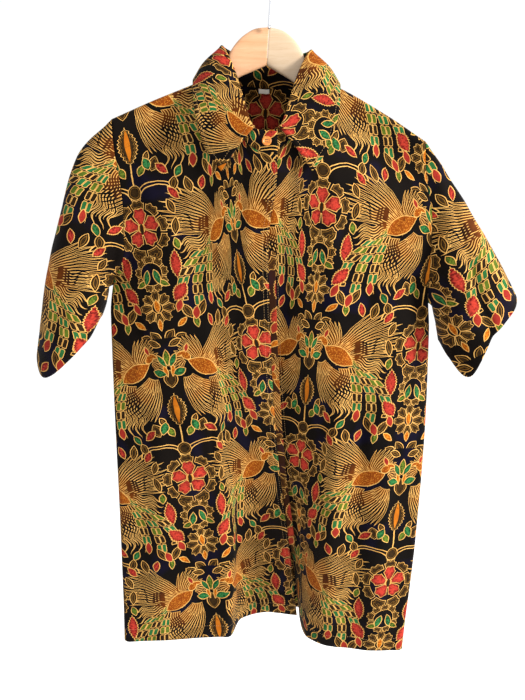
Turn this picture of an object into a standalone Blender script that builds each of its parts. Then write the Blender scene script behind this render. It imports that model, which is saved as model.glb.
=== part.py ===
"""Short-sleeved batik shirt, fastened at the neck only, on a contoured wooden hanger.

Metres, +Z up.  The front of the shirt faces -Y, so its wearer's right side is at -X.
The origin is the inner top of the hanger's hook, where a rail carries it.
Every cloth piece is a grid bent by a function and given its wall by Solidify.
"""
import math

import bmesh
import bpy
from mathutils import Vector

# ---- driving dimensions ----
CLOTH = 0.0016            # wall of the fronts, back and sleeves
COLLAR_CLOTH = 0.0020     # wall of the stand and the leaf, which are doubled and stiffened
FLY_CLOTH = 0.0011        # wall of the fly strip
SEAM = 0.0003             # space left between two pieces at a seam
SET_BACK = 0.00050        # each panel stops this far short of a seam on a turn, so its rims clear
NECK_X = -0.009           # middle of the neck, where the tilted hanger holds it
HEM_Z = -0.905            # hem of the wearer's right front
HEM_TILT = -0.013         # how much lower the hem is at the wearer's left
UNDERARM = 0.715          # height of the underarm, as a fraction from hem to shoulder
TURN = 0.0080             # radius of the folds at the side seams
FRONT_NECK = 0.40         # share of a front's width that its neckline takes
BACK_NECK = 0.33          # and of half the back's
ARMHOLE_GAPE = 0.030      # where an armhole is this wide its edges no longer turn
TURN_START = 0.93         # share of the width where a panel starts to turn into its side seam
NECK_LAP = 0.0125         # how far each end of the stand passes the middle of the neck
NECK_DIP = 0.0050         # the neck is this much lower at the wearer's left shoulder
NECK_DIP_REACH = 0.30     # over this much of the half neck, either way
NECK_OVER = -0.0024       # the upper end lies this far forward of the neckline
NECK_UNDER = 0.0048       # and the under end this far behind it
HANGER_SHIFT = 0.0125     # the tilt carries the arms this far to the wearer's right

BODY_ROWS = 12            # rows of the body below its top
BODY_ROWS_END = 0.90      # as far as this fraction of the height
TOP_DROPS = (0.046, 0.028, 0.016, 0.0085, 0.0045, 0.0018, 0.0005, 0.0)   # and the last rows, from the top
BODY_LENGTH = 0.70        # hem to shoulder, for turning those drops into fractions
VENT = 0.075              # height of the side vents, as a fraction from hem to shoulder
VENT_GAPE = 0.0025        # each edge of a vent stands this far off the line of the side seam
SLEEVE_AROUND = 24
SLEEVE_ROWS = 9
NECK_COLUMNS = 18         # along half of the collar, as far as the leaf's end

HANGER_THICK = 0.012
HANGER_TILT = math.radians(4.0)   # the wearer's left arm of the hanger hangs lower
HANGER_MITRE = 0.0003
HOOK_WIRE = 0.0036
HOOK_RADIUS = 0.0195              # to the middle of the wire
HOOK_DROP = 0.0835                # hook's inner top to the top of the wood
HOOK_BEND = -0.054                # where the shank starts to bend to the side
HOOK_PULL = dict(shank=0.020, round=0.018)   # how straight the bend leaves at its two ends
HOOK_ROUND = 205.0                # degrees of the round

BUTTON_RADIUS = 0.0055
BUTTON_THICK = 0.0026
BUTTON_EDGE = 0.0007              # rounding of its rims
BUTTON_TURN = math.radians(82)    # it leans back with the stand

# hem to shoulder; at each height (v) the free edge, the valley behind it, the step, the ridge and
# the flat of the wearer's right front, each as x and y
RIGHT_FRONT = (
    dict(v=0.00, edge=(0.0385, 0.036), valley=(0.000, 0.037), step=(-0.046, 0.016),
         ridge=(-0.0640, -0.027), flat=(-0.135, -0.034)),
    dict(v=0.20, edge=(0.0240, 0.012), valley=(-0.012, 0.016), step=(-0.052, 0.000),
         ridge=(-0.0720, -0.031), flat=(-0.140, -0.037)),
    dict(v=0.43, edge=(0.0060, -0.018), valley=(-0.030, -0.014), step=(-0.060, -0.022),
         ridge=(-0.0800, -0.038), flat=(-0.142, -0.041)),
    dict(v=0.64, edge=(-0.0030, -0.041), valley=(-0.036, -0.040), step=(-0.066, -0.042),
         ridge=(-0.0880, -0.047), flat=(-0.145, -0.043)),
    dict(v=0.85, edge=(-0.0070, -0.054), valley=(-0.036, -0.052), step=(-0.064, -0.050),
         ridge=(-0.0880, -0.047), flat=(-0.140, -0.042)),
)
RIGHT_KNOTS = dict(edge=0.0, valley=0.14, step=0.29, ridge=0.40, flat=0.66)

# the wearer's left front: its free edge lies under the other front, then falls back beside it
LEFT_FRONT = (
    dict(v=0.00, edge=(0.0430, 0.050), under=(0.0445, 0.020), ridge=(0.0500, -0.008),
         crest=(0.0800, -0.031), flat=(0.130, -0.040)),
    dict(v=0.20, edge=(0.0260, 0.034), under=(0.0400, 0.012), ridge=(0.0560, -0.021),
         crest=(0.0830, -0.040), flat=(0.135, -0.044)),
    dict(v=0.43, edge=(-0.0100, -0.004), under=(0.0200, -0.010), ridge=(0.0570, -0.036),
         crest=(0.0830, -0.047), flat=(0.138, -0.046)),
    dict(v=0.64, edge=(-0.0210, -0.031), under=(0.0110, -0.031), ridge=(0.0420, -0.049),
         crest=(0.0720, -0.053), flat=(0.138, -0.047)),
    dict(v=0.85, edge=(-0.0250, -0.047), under=(0.0060, -0.0480), ridge=(0.0340, -0.053),
         crest=(0.0640, -0.053), flat=(0.132, -0.044)),
)
LEFT_KNOTS = dict(edge=0.0, under=0.14, ridge=0.28, crest=0.42, flat=0.68)

# side seams below the underarm and armholes above it: x, and y of the front and back edges
RIGHT_SIDE = (
    dict(v=0.00, x=-0.2112, front=-0.0290, back=-0.0290),
    dict(v=0.25, x=-0.2105, front=-0.0240, back=-0.0240),
    dict(v=0.50, x=-0.2110, front=-0.0200, back=-0.0200),
    dict(v=0.66, x=-0.2105, front=-0.0160, back=-0.0160),
    dict(v=UNDERARM, x=-0.2060, front=-0.0125, back=-0.0125),
    dict(v=0.78, x=-0.1870, front=-0.0340, back=0.0150),
    dict(v=0.88, x=-0.1855, front=-0.0360, back=0.0160),
    dict(v=0.95, x=-0.1895, front=-0.0310, back=0.0060),
    dict(v=1.00, x=-0.1970, front=-0.0160, back=-0.0160),
)
LEFT_SIDE = (
    dict(v=0.00, x=0.1860, front=-0.0300, back=-0.0300),
    dict(v=0.25, x=0.1985, front=-0.0260, back=-0.0260),
    dict(v=0.50, x=0.2035, front=-0.0220, back=-0.0220),
    dict(v=0.66, x=0.2025, front=-0.0180, back=-0.0180),
    dict(v=UNDERARM, x=0.2000, front=-0.0145, back=-0.0145),
    dict(v=0.78, x=0.1960, front=-0.0360, back=0.0130),
    dict(v=0.88, x=0.1960, front=-0.0380, back=0.0150),
    dict(v=0.95, x=0.1910, front=-0.0320, back=0.0060),
    dict(v=1.00, x=0.1850, front=-0.0150, back=-0.0150),
)

# the back, hem to shoulder: y at the middle, at the quarters and at the turns into the sides
BACK = (
    dict(v=0.00, middle=0.060, quarter=0.050, turn=0.004),
    dict(v=0.25, middle=0.057, quarter=0.049, turn=0.006),
    dict(v=0.50, middle=0.054, quarter=0.047, turn=0.008),
    dict(v=0.70, middle=0.051, quarter=0.043, turn=0.012),
    dict(v=0.85, middle=0.049, quarter=0.036, turn=0.020),
)

BACK_PLACES = dict(middle=0.0, quarter=0.48, turn=0.82)   # where those are, across half the back
BACK_HEM_X = -0.012       # middle of the back at the hem

# shoulder seams from the neck outwards: x from the origin and z
RIGHT_SHOULDER = (
    dict(x=-0.0690, z=-0.1380),
    dict(x=-0.0970, z=-0.1500),
    dict(x=-0.1500, z=-0.1715),
    dict(x=-0.1970, z=-0.1925),
)
LEFT_SHOULDER = (
    dict(x=0.0510, z=-0.1430),
    dict(x=0.0790, z=-0.1545),
    dict(x=0.1400, z=-0.1890),
    dict(x=0.1850, z=-0.2190),
)
WRAP = 0.0085             # radius of the cloth over the top of the hanger
WRAP_FADE = 0.05          # share of a panel's width over which that turn grows, beside the neck
TOP_BLEND = 0.11          # below its top edge a panel joins its own sections over this fall
TENT = dict(neck_side=0.25, arm_side=0.30)   # share of a front's width that slopes beside the neck
NECK_SLOPE = 1.2          # beside the neck a front runs forward by this much of its fall
NECK_SLOPE_FALL = 0.042   # down to this far below its top

# half of the neck, from the middle of the back (0) round to the fastening (1); x is from NECK_X.
# seam: where stand and body meet.  fold: top of the stand.  edge: outer edge of the leaf
NECK = (
    dict(s=0.00, seam=(0.000, 0.0500, -0.1500), fold=(0.000, 0.0530, -0.1150), edge=(0.000, 0.0670, -0.1560)),
    dict(s=0.22, seam=(0.037, 0.0430, -0.1475), fold=(0.034, 0.0450, -0.1120), edge=(0.055, 0.0560, -0.1540)),
    dict(s=0.42, seam=(0.060, 0.0080, -0.1380), fold=(0.053, 0.0130, -0.1070), edge=(0.090, 0.0100, -0.1440)),
    dict(s=0.62, seam=(0.050, -0.0240, -0.1700), fold=(0.038, -0.0130, -0.1430), edge=(0.086, -0.0370, -0.1820)),
    dict(s=0.80, seam=(0.034, -0.0460, -0.2080), fold=(0.0265, -0.0365, -0.1780), edge=(0.076, -0.0520, -0.2220)),
    dict(s=0.92, seam=(0.013, -0.0560, -0.2290), fold=(0.0150, -0.0515, -0.2050), edge=(0.054, -0.0600, -0.2535)),
    dict(s=1.00, seam=(0.000, -0.0570, -0.2330), fold=(0.0000, -0.0535, -0.2085), edge=(0.054, -0.0600, -0.2535)),
)
SIDE_NECK = 0.42          # where on that half the shoulder seam meets the stand
LEAF_END = 0.92           # and where the leaf stops, short of the fastening
STAND_LIFT = dict(front=0.0015, from_s=0.10, over=0.20)   # extra space over the fronts' bent edges
# the leaf's path over its fold: out from the stand and up or down from its top
LEAF_START = 0.0017
LEAF_CROWN = dict(out=0.0026, up=0.0012)
LEAF_PAST = dict(out=0.0054, down=0.0036)
LEAF_BELLY = 0.0035
LEAF_KNOTS = (0.0, 0.12, 0.26, 0.62, 1.0)

# sleeves from the armhole (t = 0) to the cuff: outer fold, inner fold, front and back y
RIGHT_SLEEVE = (
    dict(t=0.25, outer=(-0.2400, -0.2320), inner=(-0.2130, -0.3990), front=-0.046, back=0.022),
    dict(t=0.50, outer=(-0.2685, -0.3080), inner=(-0.2165, -0.4110), front=-0.056, back=0.027),
    dict(t=0.75, outer=(-0.2925, -0.3900), inner=(-0.2205, -0.4240), front=-0.064, back=0.030),
    dict(t=1.00, outer=(-0.3080, -0.4750), inner=(-0.2260, -0.4370), front=-0.070, back=0.032),
)
LEFT_SLEEVE = (
    dict(t=0.25, outer=(0.2220, -0.2660), inner=(0.2065, -0.4240), front=-0.050, back=0.020),
    dict(t=0.50, outer=(0.2550, -0.3230), inner=(0.2095, -0.4360), front=-0.061, back=0.021),
    dict(t=0.75, outer=(0.2850, -0.3640), inner=(0.2130, -0.4490), front=-0.070, back=0.020),
    dict(t=1.00, outer=(0.3100, -0.4060), inner=(0.2175, -0.4660), front=-0.076, back=0.016),
)
SLEEVE_MIDDLE = -0.015    # y of the outer and inner folds
SLEEVE_CLEAR = 0.0022     # the sleeve's first ring stands this far out of the armhole

# how far the front of each cuff droops below the line from fold to fold, by angle from the outer fold
RIGHT_DROOP = (
    dict(angle=0, drop=0.000),
    dict(angle=62, drop=0.042),
    dict(angle=140, drop=0.020),
    dict(angle=180, drop=0.000),
    dict(angle=360, drop=0.000),
)
LEFT_DROOP = (
    dict(angle=0, drop=0.000),
    dict(angle=80, drop=0.018),
    dict(angle=112, drop=0.056),
    dict(angle=150, drop=0.022),
    dict(angle=180, drop=0.004),
    dict(angle=360, drop=0.000),
)

# one arm of the hanger, from its middle outwards, untilted: top and bottom of the wood
HANGER = (
    dict(x=0.000, top=-0.0835, bottom=-0.1275),
    dict(x=0.015, top=-0.0860, bottom=-0.1350),
    dict(x=0.030, top=-0.0950, bottom=-0.1425),
    dict(x=0.040, top=-0.1060, bottom=-0.1490),
    dict(x=0.047, top=-0.1185, bottom=-0.1560),
    dict(x=0.055, top=-0.1440, bottom=-0.1650),
    dict(x=0.065, top=-0.1530, bottom=-0.1750),
    dict(x=0.090, top=-0.1660, bottom=-0.1930),
    dict(x=0.140, top=-0.1890, bottom=-0.2170),
    dict(x=0.172, top=-0.2055, bottom=-0.2320),
    dict(x=0.186, top=-0.2170, bottom=-0.2360),
    dict(x=0.191, top=-0.2240, bottom=-0.2320),
)
HANGER_BOW = dict(middle=0.012, forward=0.030, reach=0.200, power=1.5)


# ---- small helpers ----
def ease(t):
    t = max(0.0, min(1.0, t))
    return t * t * (3.0 - 2.0 * t)


def mix(a, b, t):
    return a + (b - a) * t


def smooth(knots, values, t):
    """A curve through the values that never overshoots between two of them."""
    if t <= knots[0]:
        return values[0]
    if t >= knots[-1]:
        return values[-1]
    steps = [(values[i + 1] - values[i]) / (knots[i + 1] - knots[i]) for i in range(len(knots) - 1)]
    slopes = [steps[0]]
    for before, after in zip(steps, steps[1:]):
        slopes.append(0.0 if before * after <= 0 else 2.0 * before * after / (before + after))
    slopes.append(steps[-1])
    i = max(k for k in range(len(knots) - 1) if knots[k] <= t)
    width = knots[i + 1] - knots[i]
    f = (t - knots[i]) / width
    return (values[i] * (1 + 2 * f) * (1 - f) ** 2 + values[i + 1] * f * f * (3 - 2 * f)
            + slopes[i] * width * f * (1 - f) ** 2 - slopes[i + 1] * width * f * f * (1 - f))


def column(table, key, name, t, axis=None):
    """One named column of a table, read smoothly at t along the key column."""
    values = [row[name] if axis is None else row[name][axis] for row in table]
    return smooth([row[key] for row in table], values, t)


def bow(x):
    """Plan curve of the hanger: its ends come forward of its middle."""
    return HANGER_BOW["middle"] - HANGER_BOW["forward"] * (abs(x) / HANGER_BOW["reach"]) ** HANGER_BOW["power"]


def material(name, colour, roughness, metallic=0.0):
    made = bpy.data.materials.new(name)
    made.use_nodes = True
    shader = made.node_tree.nodes["Principled BSDF"]
    shader.inputs["Base Color"].default_value = (*colour, 1.0)
    shader.inputs["Roughness"].default_value = roughness
    shader.inputs["Metallic"].default_value = metallic
    made.diffuse_color = (*colour, 1.0)
    return made


def finish(name, mesh, look):
    mesh.shade_smooth()
    mesh.set_sharp_from_angle(angle=math.radians(40))
    mesh.materials.append(look)
    made = bpy.data.objects.new(name, mesh)
    bpy.context.collection.objects.link(made)
    return made


def cloth(name, place, columns, rows, wall, look, closed=False):
    """A grid of columns by rows, bent by place(column, row), with a wall by Solidify."""
    form = bmesh.new()
    bmesh.ops.create_grid(form, x_segments=columns, y_segments=rows, size=0.5)
    for vert in form.verts:
        u = min(columns, max(0, round((vert.co.x + 0.5) * columns)))
        v = min(rows, max(0, round((vert.co.y + 0.5) * rows)))
        vert.co = Vector(place(u, v))
    if closed:
        bmesh.ops.remove_doubles(form, verts=form.verts, dist=0.00002)
    mesh = bpy.data.meshes.new(name)
    form.to_mesh(mesh)
    form.free()
    made = finish(name, mesh, look)
    solid = made.modifiers.new("wall", "SOLIDIFY")
    solid.thickness = wall
    solid.offset = 0.0
    solid.use_rim = True
    return made


# ---- the body's outlines ----
def height_rows():
    """Heights of the body's rows, closer together where the cloth turns over the hanger."""
    lower = [BODY_ROWS_END * i / BODY_ROWS for i in range(BODY_ROWS + 1)]
    return lower + [1.0 - drop / BODY_LENGTH for drop in TOP_DROPS]


def front_columns():
    neck = [FRONT_NECK * i / 8 for i in range(9)]
    chest = [mix(FRONT_NECK, TURN_START, i / 8) for i in range(1, 9)]
    turn = [mix(TURN_START, 1.0, i / 3) for i in range(1, 4)]
    return neck + chest + turn


def back_columns():
    neck = [BACK_NECK * i / 4 for i in range(5)]
    blade = [mix(BACK_NECK, TURN_START, i / 7) for i in range(1, 8)]
    turn = [mix(TURN_START, 1.0, i / 3) for i in range(1, 4)]
    half = neck + blade + turn
    return [-p for p in reversed(half[1:])] + half


def hem_height(x):
    return HEM_Z + HEM_TILT * ease((x + 0.05) / 0.15)


def neck_point(s, line, hand, lap=0.0):
    """A point of the neck: hand is -1 on the wearer's right and 1 on the left."""
    end = ease((s - LEAF_END) / (1.0 - LEAF_END))
    x = NECK_X + hand * column(NECK, "s", line, s, 0) - hand * lap * end
    y = column(NECK, "s", line, s, 1) + (NECK_OVER if hand < 0 else NECK_UNDER) * end * (lap > 0)
    dip = NECK_DIP * ease(1.0 - abs(s - SIDE_NECK) / NECK_DIP_REACH) if hand > 0 else 0.0
    return Vector((x, y, column(NECK, "s", line, s, 2) - dip))


def neck_axes(s, line, hand, lap=0.0):
    """At a point of a neck line: the way up the cloth, square to the line, and the way out of it."""
    along = neck_point(min(1.0, s + 0.02), line, hand, lap) - neck_point(max(0.0, s - 0.02), line, hand, lap)
    along.normalize()
    up = neck_point(s, "fold", hand, lap) - neck_point(s, "seam", hand, lap)
    up = (up - along * up.dot(along)).normalized()
    out = along.cross(up).normalized()
    if out.x * (neck_point(s, line, hand).x - NECK_X) + out.y * neck_point(s, line, hand).y < 0:
        out = -out
    return up, out


def shoulder_point(hand, t):
    """The shoulder seam from the neck (0) to the armhole (1)."""
    table = RIGHT_SHOULDER if hand < 0 else LEFT_SHOULDER
    x = mix(table[0]["x"], table[-1]["x"], t)
    z = smooth([abs(row["x"]) for row in table], [row["z"] for row in table], abs(x))
    near_neck = neck_point(SIDE_NECK, "seam", hand)
    return Vector((x, mix(near_neck.y, bow(x + HANGER_SHIFT), ease(t / 0.25)), z))


def over_hanger(down):
    """How far the cloth stands from the shoulder seam, at a distance down from it."""
    if down >= WRAP:
        return WRAP
    return math.sqrt(WRAP ** 2 - (WRAP - down) ** 2)


def wrap_share(p, neck_share):
    return ease(1.0 - (neck_share - p) / WRAP_FADE)


def side_table(hand):
    return RIGHT_SIDE if hand < 0 else LEFT_SIDE


def turned_edge(hand, face, along, v):
    """The last stretch of a panel: a quarter turn into the side seam, or flat to the armhole.

    face is "front" or "back", along runs from 0 at the start of the turn to 1 at the edge.
    """
    table = side_table(hand)
    out = -1.0 if face == "front" else 1.0
    x = column(table, "v", "x", v)
    y = column(table, "v", face if v > UNDERARM else "front", v)
    y += out * VENT_GAPE * max(0.0, 1.0 - v / VENT)
    gape = column(table, "v", "back", v) - column(table, "v", "front", v) if v > UNDERARM else 0.0
    opened = ease(gape / ARMHOLE_GAPE)
    angle = along * math.pi / 2
    turned = (x - hand * TURN * (1 - math.sin(angle)), y + out * TURN * math.cos(angle))
    straight = (x - hand * TURN * (1 - along), y)
    return mix(turned[0], straight[0], opened), mix(turned[1], straight[1], opened)


# ---- fronts and back ----
def front_top(hand, p):
    """The top edge of a front: its neckline, then the shoulder seam."""
    if p < FRONT_NECK:
        return neck_point(mix(1.0, SIDE_NECK, (p / FRONT_NECK) ** 1.5), "seam", hand, NECK_LAP)
    return shoulder_point(hand, (p - FRONT_NECK) / (1.0 - FRONT_NECK))


def front_point(hand, p, v):
    """A point of a front: p runs from its free edge to its side seam, v from hem to top."""
    table = RIGHT_FRONT if hand < 0 else LEFT_FRONT
    knots = RIGHT_KNOTS if hand < 0 else LEFT_KNOTS
    top = front_top(hand, p)
    share = wrap_share(p, FRONT_NECK)
    xs, ys, places = [], [], []
    for name, place in knots.items():
        edge_top = front_top(hand, place)
        at_top = edge_top.y - WRAP * wrap_share(place, FRONT_NECK)
        vs = [row["v"] for row in table] + [1.0]
        xs.append(smooth(vs, [row[name][0] for row in table] + [edge_top.x], v))
        ys.append(smooth(vs, [row[name][1] for row in table] + [at_top], v))
        places.append(place)
    along = max(0.0, (p - TURN_START) / (1.0 - TURN_START))
    turn_x, turn_y = turned_edge(hand, "front", along, v)
    if along <= 0.0:
        xs.append(turn_x)
        ys.append(turn_y)
        places.append(TURN_START)
        x = smooth(places, xs, p)
        y = smooth(places, ys, p)
    else:
        x, y = turn_x, turn_y
    down = (1.0 - v) * (top.z - HEM_Z)
    x = mix(top.x, x, ease(down / TOP_BLEND))
    reach = TENT["arm_side"] if p > FRONT_NECK else TENT["neck_side"]
    tent = ease(1.0 - abs(p - FRONT_NECK) / reach)
    near = top.y - math.hypot(share * over_hanger(down), tent * NECK_SLOPE * min(down, NECK_SLOPE_FALL))
    y = mix(near, y, ease(down / TOP_BLEND))
    y = y - SET_BACK if p >= FRONT_NECK else y
    hem = hem_height(front_hem_x(hand, p))
    return Vector((x, y, mix(hem, top.z, v)))


def front_hem_x(hand, p):
    side = side_table(hand)[0]["x"]
    edge = (RIGHT_FRONT if hand < 0 else LEFT_FRONT)[0]["edge"][0]
    return mix(edge, side, p)


def back_top(hand, p):
    if p < BACK_NECK:
        return neck_point(SIDE_NECK * p / BACK_NECK, "seam", hand)
    return shoulder_point(hand, (p - BACK_NECK) / (1.0 - BACK_NECK))


def back_point(u, v):
    """A point of the back: u runs from the right side seam (-1) to the left (1)."""
    hand = -1.0 if u < 0 else 1.0
    p = abs(u)
    top = back_top(hand, p)
    middle_x = mix(BACK_HEM_X, NECK_X, v)
    along = max(0.0, (p - TURN_START) / (1.0 - TURN_START))
    turn_x, turn_y = turned_edge(hand, "back", along, v)
    if along <= 0.0:
        x = mix(middle_x, turn_x, p / TURN_START)
        heights = [row["v"] for row in BACK] + [1.0]
        ys = []
        for name, place in BACK_PLACES.items():
            edge_top = back_top(hand, place)
            at_top = edge_top.y + WRAP * wrap_share(place, BACK_NECK)
            ys.append(smooth(heights, [row[name] for row in BACK] + [at_top], v))
        y = smooth([*BACK_PLACES.values(), TURN_START], ys + [turn_y], p)
    else:
        x, y = turn_x, turn_y
    down = (1.0 - v) * (top.z - HEM_Z)
    x = mix(top.x, x, ease(down / TOP_BLEND))
    near = top.y + wrap_share(p, BACK_NECK) * over_hanger(down)
    y = mix(near, y, ease(down / TOP_BLEND))
    y = y + SET_BACK if p >= BACK_NECK else y
    return Vector((x, y, mix(hem_height(x), top.z, v)))


def make_front(name, hand, look):
    columns, rows = front_columns(), height_rows()
    return cloth(name, lambda c, r: front_point(hand, columns[c], rows[r]),
                 len(columns) - 1, len(rows) - 1, CLOTH, look)


def make_back(look):
    columns, rows = back_columns(), height_rows()
    return cloth("back", lambda c, r: back_point(columns[c], rows[r]),
                 len(columns) - 1, len(rows) - 1, CLOTH, look)


def make_fly(look):
    """The strip under the right front's free edge, which shows past it from the chest to the belly."""
    reach, inside = 0.009, 0.10
    top, bottom, rows, spare = 0.83, 0.19, 16, 0.0004

    def place(c, r):
        v = mix(bottom, top, r / rows)
        edge = front_point(-1.0, 0.0, v)
        inner = front_point(-1.0, inside, v)
        out = (edge - inner).normalized()
        step = (edge + out * reach, edge, front_point(-1.0, inside / 2, v), inner)[c]
        behind = Vector((-out.y, out.x, 0.0)).normalized()
        if behind.y < 0:
            behind = -behind
        return step + behind * (CLOTH / 2 + SEAM + FLY_CLOTH / 2 + spare)

    return cloth("placket_fly", place, 3, rows, FLY_CLOTH, look)


# ---- sleeves ----
def sleeve_point(hand, angle, t):
    """A point of a sleeve: angle goes from the outer fold round the front, t from armhole to cuff."""
    table = RIGHT_SLEEVE if hand < 0 else LEFT_SLEEVE
    droop = RIGHT_DROOP if hand < 0 else LEFT_DROOP
    outward = (1.0 + math.cos(angle)) / 2
    front = math.sin(angle) >= 0
    v = mix(UNDERARM, 1.0, outward)
    armhole = front_point(hand, 1.0, v) if front else back_point(hand, v)
    start = armhole + Vector((hand * SLEEVE_CLEAR, 0.0, 0.0))
    rings = [start]
    for row in table:
        x = mix(row["inner"][0], row["outer"][0], outward)
        z = mix(row["inner"][1], row["outer"][1], outward)
        depth = (row["front"] if front else row["back"]) - SLEEVE_MIDDLE
        rings.append(Vector((x, SLEEVE_MIDDLE + depth * abs(math.sin(angle)), z)))
    knots = [0.0] + [row["t"] for row in table]
    point = Vector([smooth(knots, [ring[axis] for ring in rings], t) for axis in range(3)])
    point.z -= column(droop, "angle", "drop", math.degrees(angle) % 360.0) * t * t
    return point


def make_sleeve(name, hand, look):
    def place(c, r):
        return sleeve_point(hand, 2 * math.pi * (c % SLEEVE_AROUND) / SLEEVE_AROUND, r / SLEEVE_ROWS)

    return cloth(name, place, SLEEVE_AROUND, SLEEVE_ROWS, CLOTH, look, closed=True)


# ---- collar ----
def collar_columns(beyond=()):
    """Stations from end to end of the collar, the same for the stand and the leaf."""
    half = [LEAF_END * i / NECK_COLUMNS for i in range(NECK_COLUMNS + 1)] + list(beyond)
    return [-s for s in reversed(half[1:])] + half


def stand_point(q, h):
    """q runs from the under end (-1), round the back, to the upper end (1); h from seam to fold."""
    hand = -1.0 if q > 0 else 1.0
    s = abs(q)
    seam = neck_point(s, "seam", hand, NECK_LAP)
    fold = neck_point(s, "fold", hand, NECK_LAP)
    lift = SEAM + STAND_LIFT["front"] * ease((s - STAND_LIFT["from_s"]) / STAND_LIFT["over"])
    up = neck_axes(s, "seam", hand, NECK_LAP)[0]
    return mix(seam + up * lift, fold, h)


def make_stand(look):
    columns = collar_columns(beyond=(0.945, 0.972, 1.0))
    return cloth("collar_stand", lambda c, r: stand_point(columns[c], r / 2),
                 len(columns) - 1, 2, COLLAR_CLOTH, look)


def leaf_point(q, w):
    """q runs from end to end round the back, w from the fold over and down to the outer edge."""
    hand = -1.0 if q > 0 else 1.0
    s = abs(q)
    fold = neck_point(s, "fold", hand)
    edge = neck_point(s, "edge", hand)
    up, away = neck_axes(s, "fold", hand)
    start = fold + up * LEAF_START
    crown = start + away * LEAF_CROWN["out"] + up * LEAF_CROWN["up"]
    past = start + away * LEAF_PAST["out"] - up * LEAF_PAST["down"]
    belly = mix(past, edge, 0.5) + away * LEAF_BELLY
    path = (start, crown, past, belly, edge)
    return Vector([smooth(LEAF_KNOTS, [point[axis] for point in path], w) for axis in range(3)])


def make_leaf(look):
    steps = (0.0, 0.06, 0.12, 0.19, 0.26, 0.44, 0.62, 0.81, 1.0)
    columns = collar_columns()
    return cloth("collar_leaf", lambda c, r: leaf_point(columns[c], steps[r]),
                 len(columns) - 1, len(steps) - 1, COLLAR_CLOTH, look)


# ---- button and tab ----
def make_button(look):
    """A flat round button on the upper end of the stand."""
    at = stand_point(1.0, 0.56)
    form = bmesh.new()
    bmesh.ops.create_cone(form, cap_ends=True, segments=24, radius1=BUTTON_RADIUS,
                          radius2=BUTTON_RADIUS, depth=BUTTON_THICK)
    rim = [edge for edge in form.edges if abs(edge.verts[0].co.z - edge.verts[1].co.z) < 1e-6]
    bmesh.ops.bevel(form, geom=rim, offset=BUTTON_EDGE, segments=2, profile=0.5, affect="EDGES")
    mesh = bpy.data.meshes.new("neck_button")
    form.to_mesh(mesh)
    form.free()
    made = finish("neck_button", mesh, look)
    made.rotation_euler = (BUTTON_TURN, 0.0, 0.0)
    clear = COLLAR_CLOTH / 2 + SEAM + BUTTON_THICK / 2
    made.location = (NECK_X, at.y - clear - SEAM, at.z)
    return made


def make_tab(look):
    """A small plain tab inside the back, just under the seam of the stand."""
    width, height, wall, middle, spare = 0.0135, 0.0050, 0.0008, -0.0120, 0.2
    rows = height_rows()

    def place(c, r):
        x = middle + width * (c / 4 - 0.5)
        u = (x - NECK_X) / NECK[2]["seam"][0] * BACK_NECK
        behind = back_point(u, rows[-2] - (r + spare) * height / 2 / BODY_LENGTH)
        return Vector((x, behind.y - CLOTH / 2 - SEAM * 2 - wall / 2, behind.z))

    return cloth("neck_tab", place, 4, 2, wall, look)


# ---- hanger ----
def make_blade(name, hand, look):
    """One half of the hanger: an oval section drawn along the arm from the mitre to the tip."""
    around, flatness, roundness = 16, 0.55, 0.75
    thins = [1.0] * (len(HANGER) - 2) + [0.90, 0.60]
    xs = [HANGER_MITRE / 2] + [row["x"] for row in HANGER[1:]]

    def place(c, r):
        row = HANGER[r]
        angle = 2 * math.pi * (c % around) / around
        across, upward = math.cos(angle), math.sin(angle)
        flat = math.copysign(abs(across) ** flatness, across)
        tall = math.copysign(abs(upward) ** roundness, upward)
        y = bow(row["x"]) + HANGER_THICK / 2 * thins[r] * flat
        z = (row["top"] + row["bottom"]) / 2 + (row["top"] - row["bottom"]) / 2 * tall
        return Vector((hand * xs[r], y, z))

    form = bmesh.new()
    rows = len(HANGER) - 1
    bmesh.ops.create_grid(form, x_segments=around, y_segments=rows, size=0.5)
    for vert in form.verts:
        c = round((vert.co.x + 0.5) * around)
        r = round((vert.co.y + 0.5) * rows)
        vert.co = place(c, r)
    bmesh.ops.remove_doubles(form, verts=form.verts, dist=0.00002)
    open_edges = [edge for edge in form.edges if edge.is_boundary]
    bmesh.ops.holes_fill(form, edges=open_edges, sides=around)
    bmesh.ops.recalc_face_normals(form, faces=form.faces)
    mesh = bpy.data.meshes.new(name)
    form.to_mesh(mesh)
    form.free()
    made = finish(name, mesh, look)
    made.rotation_euler = (0.0, HANGER_TILT, 0.0)
    return made


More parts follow.
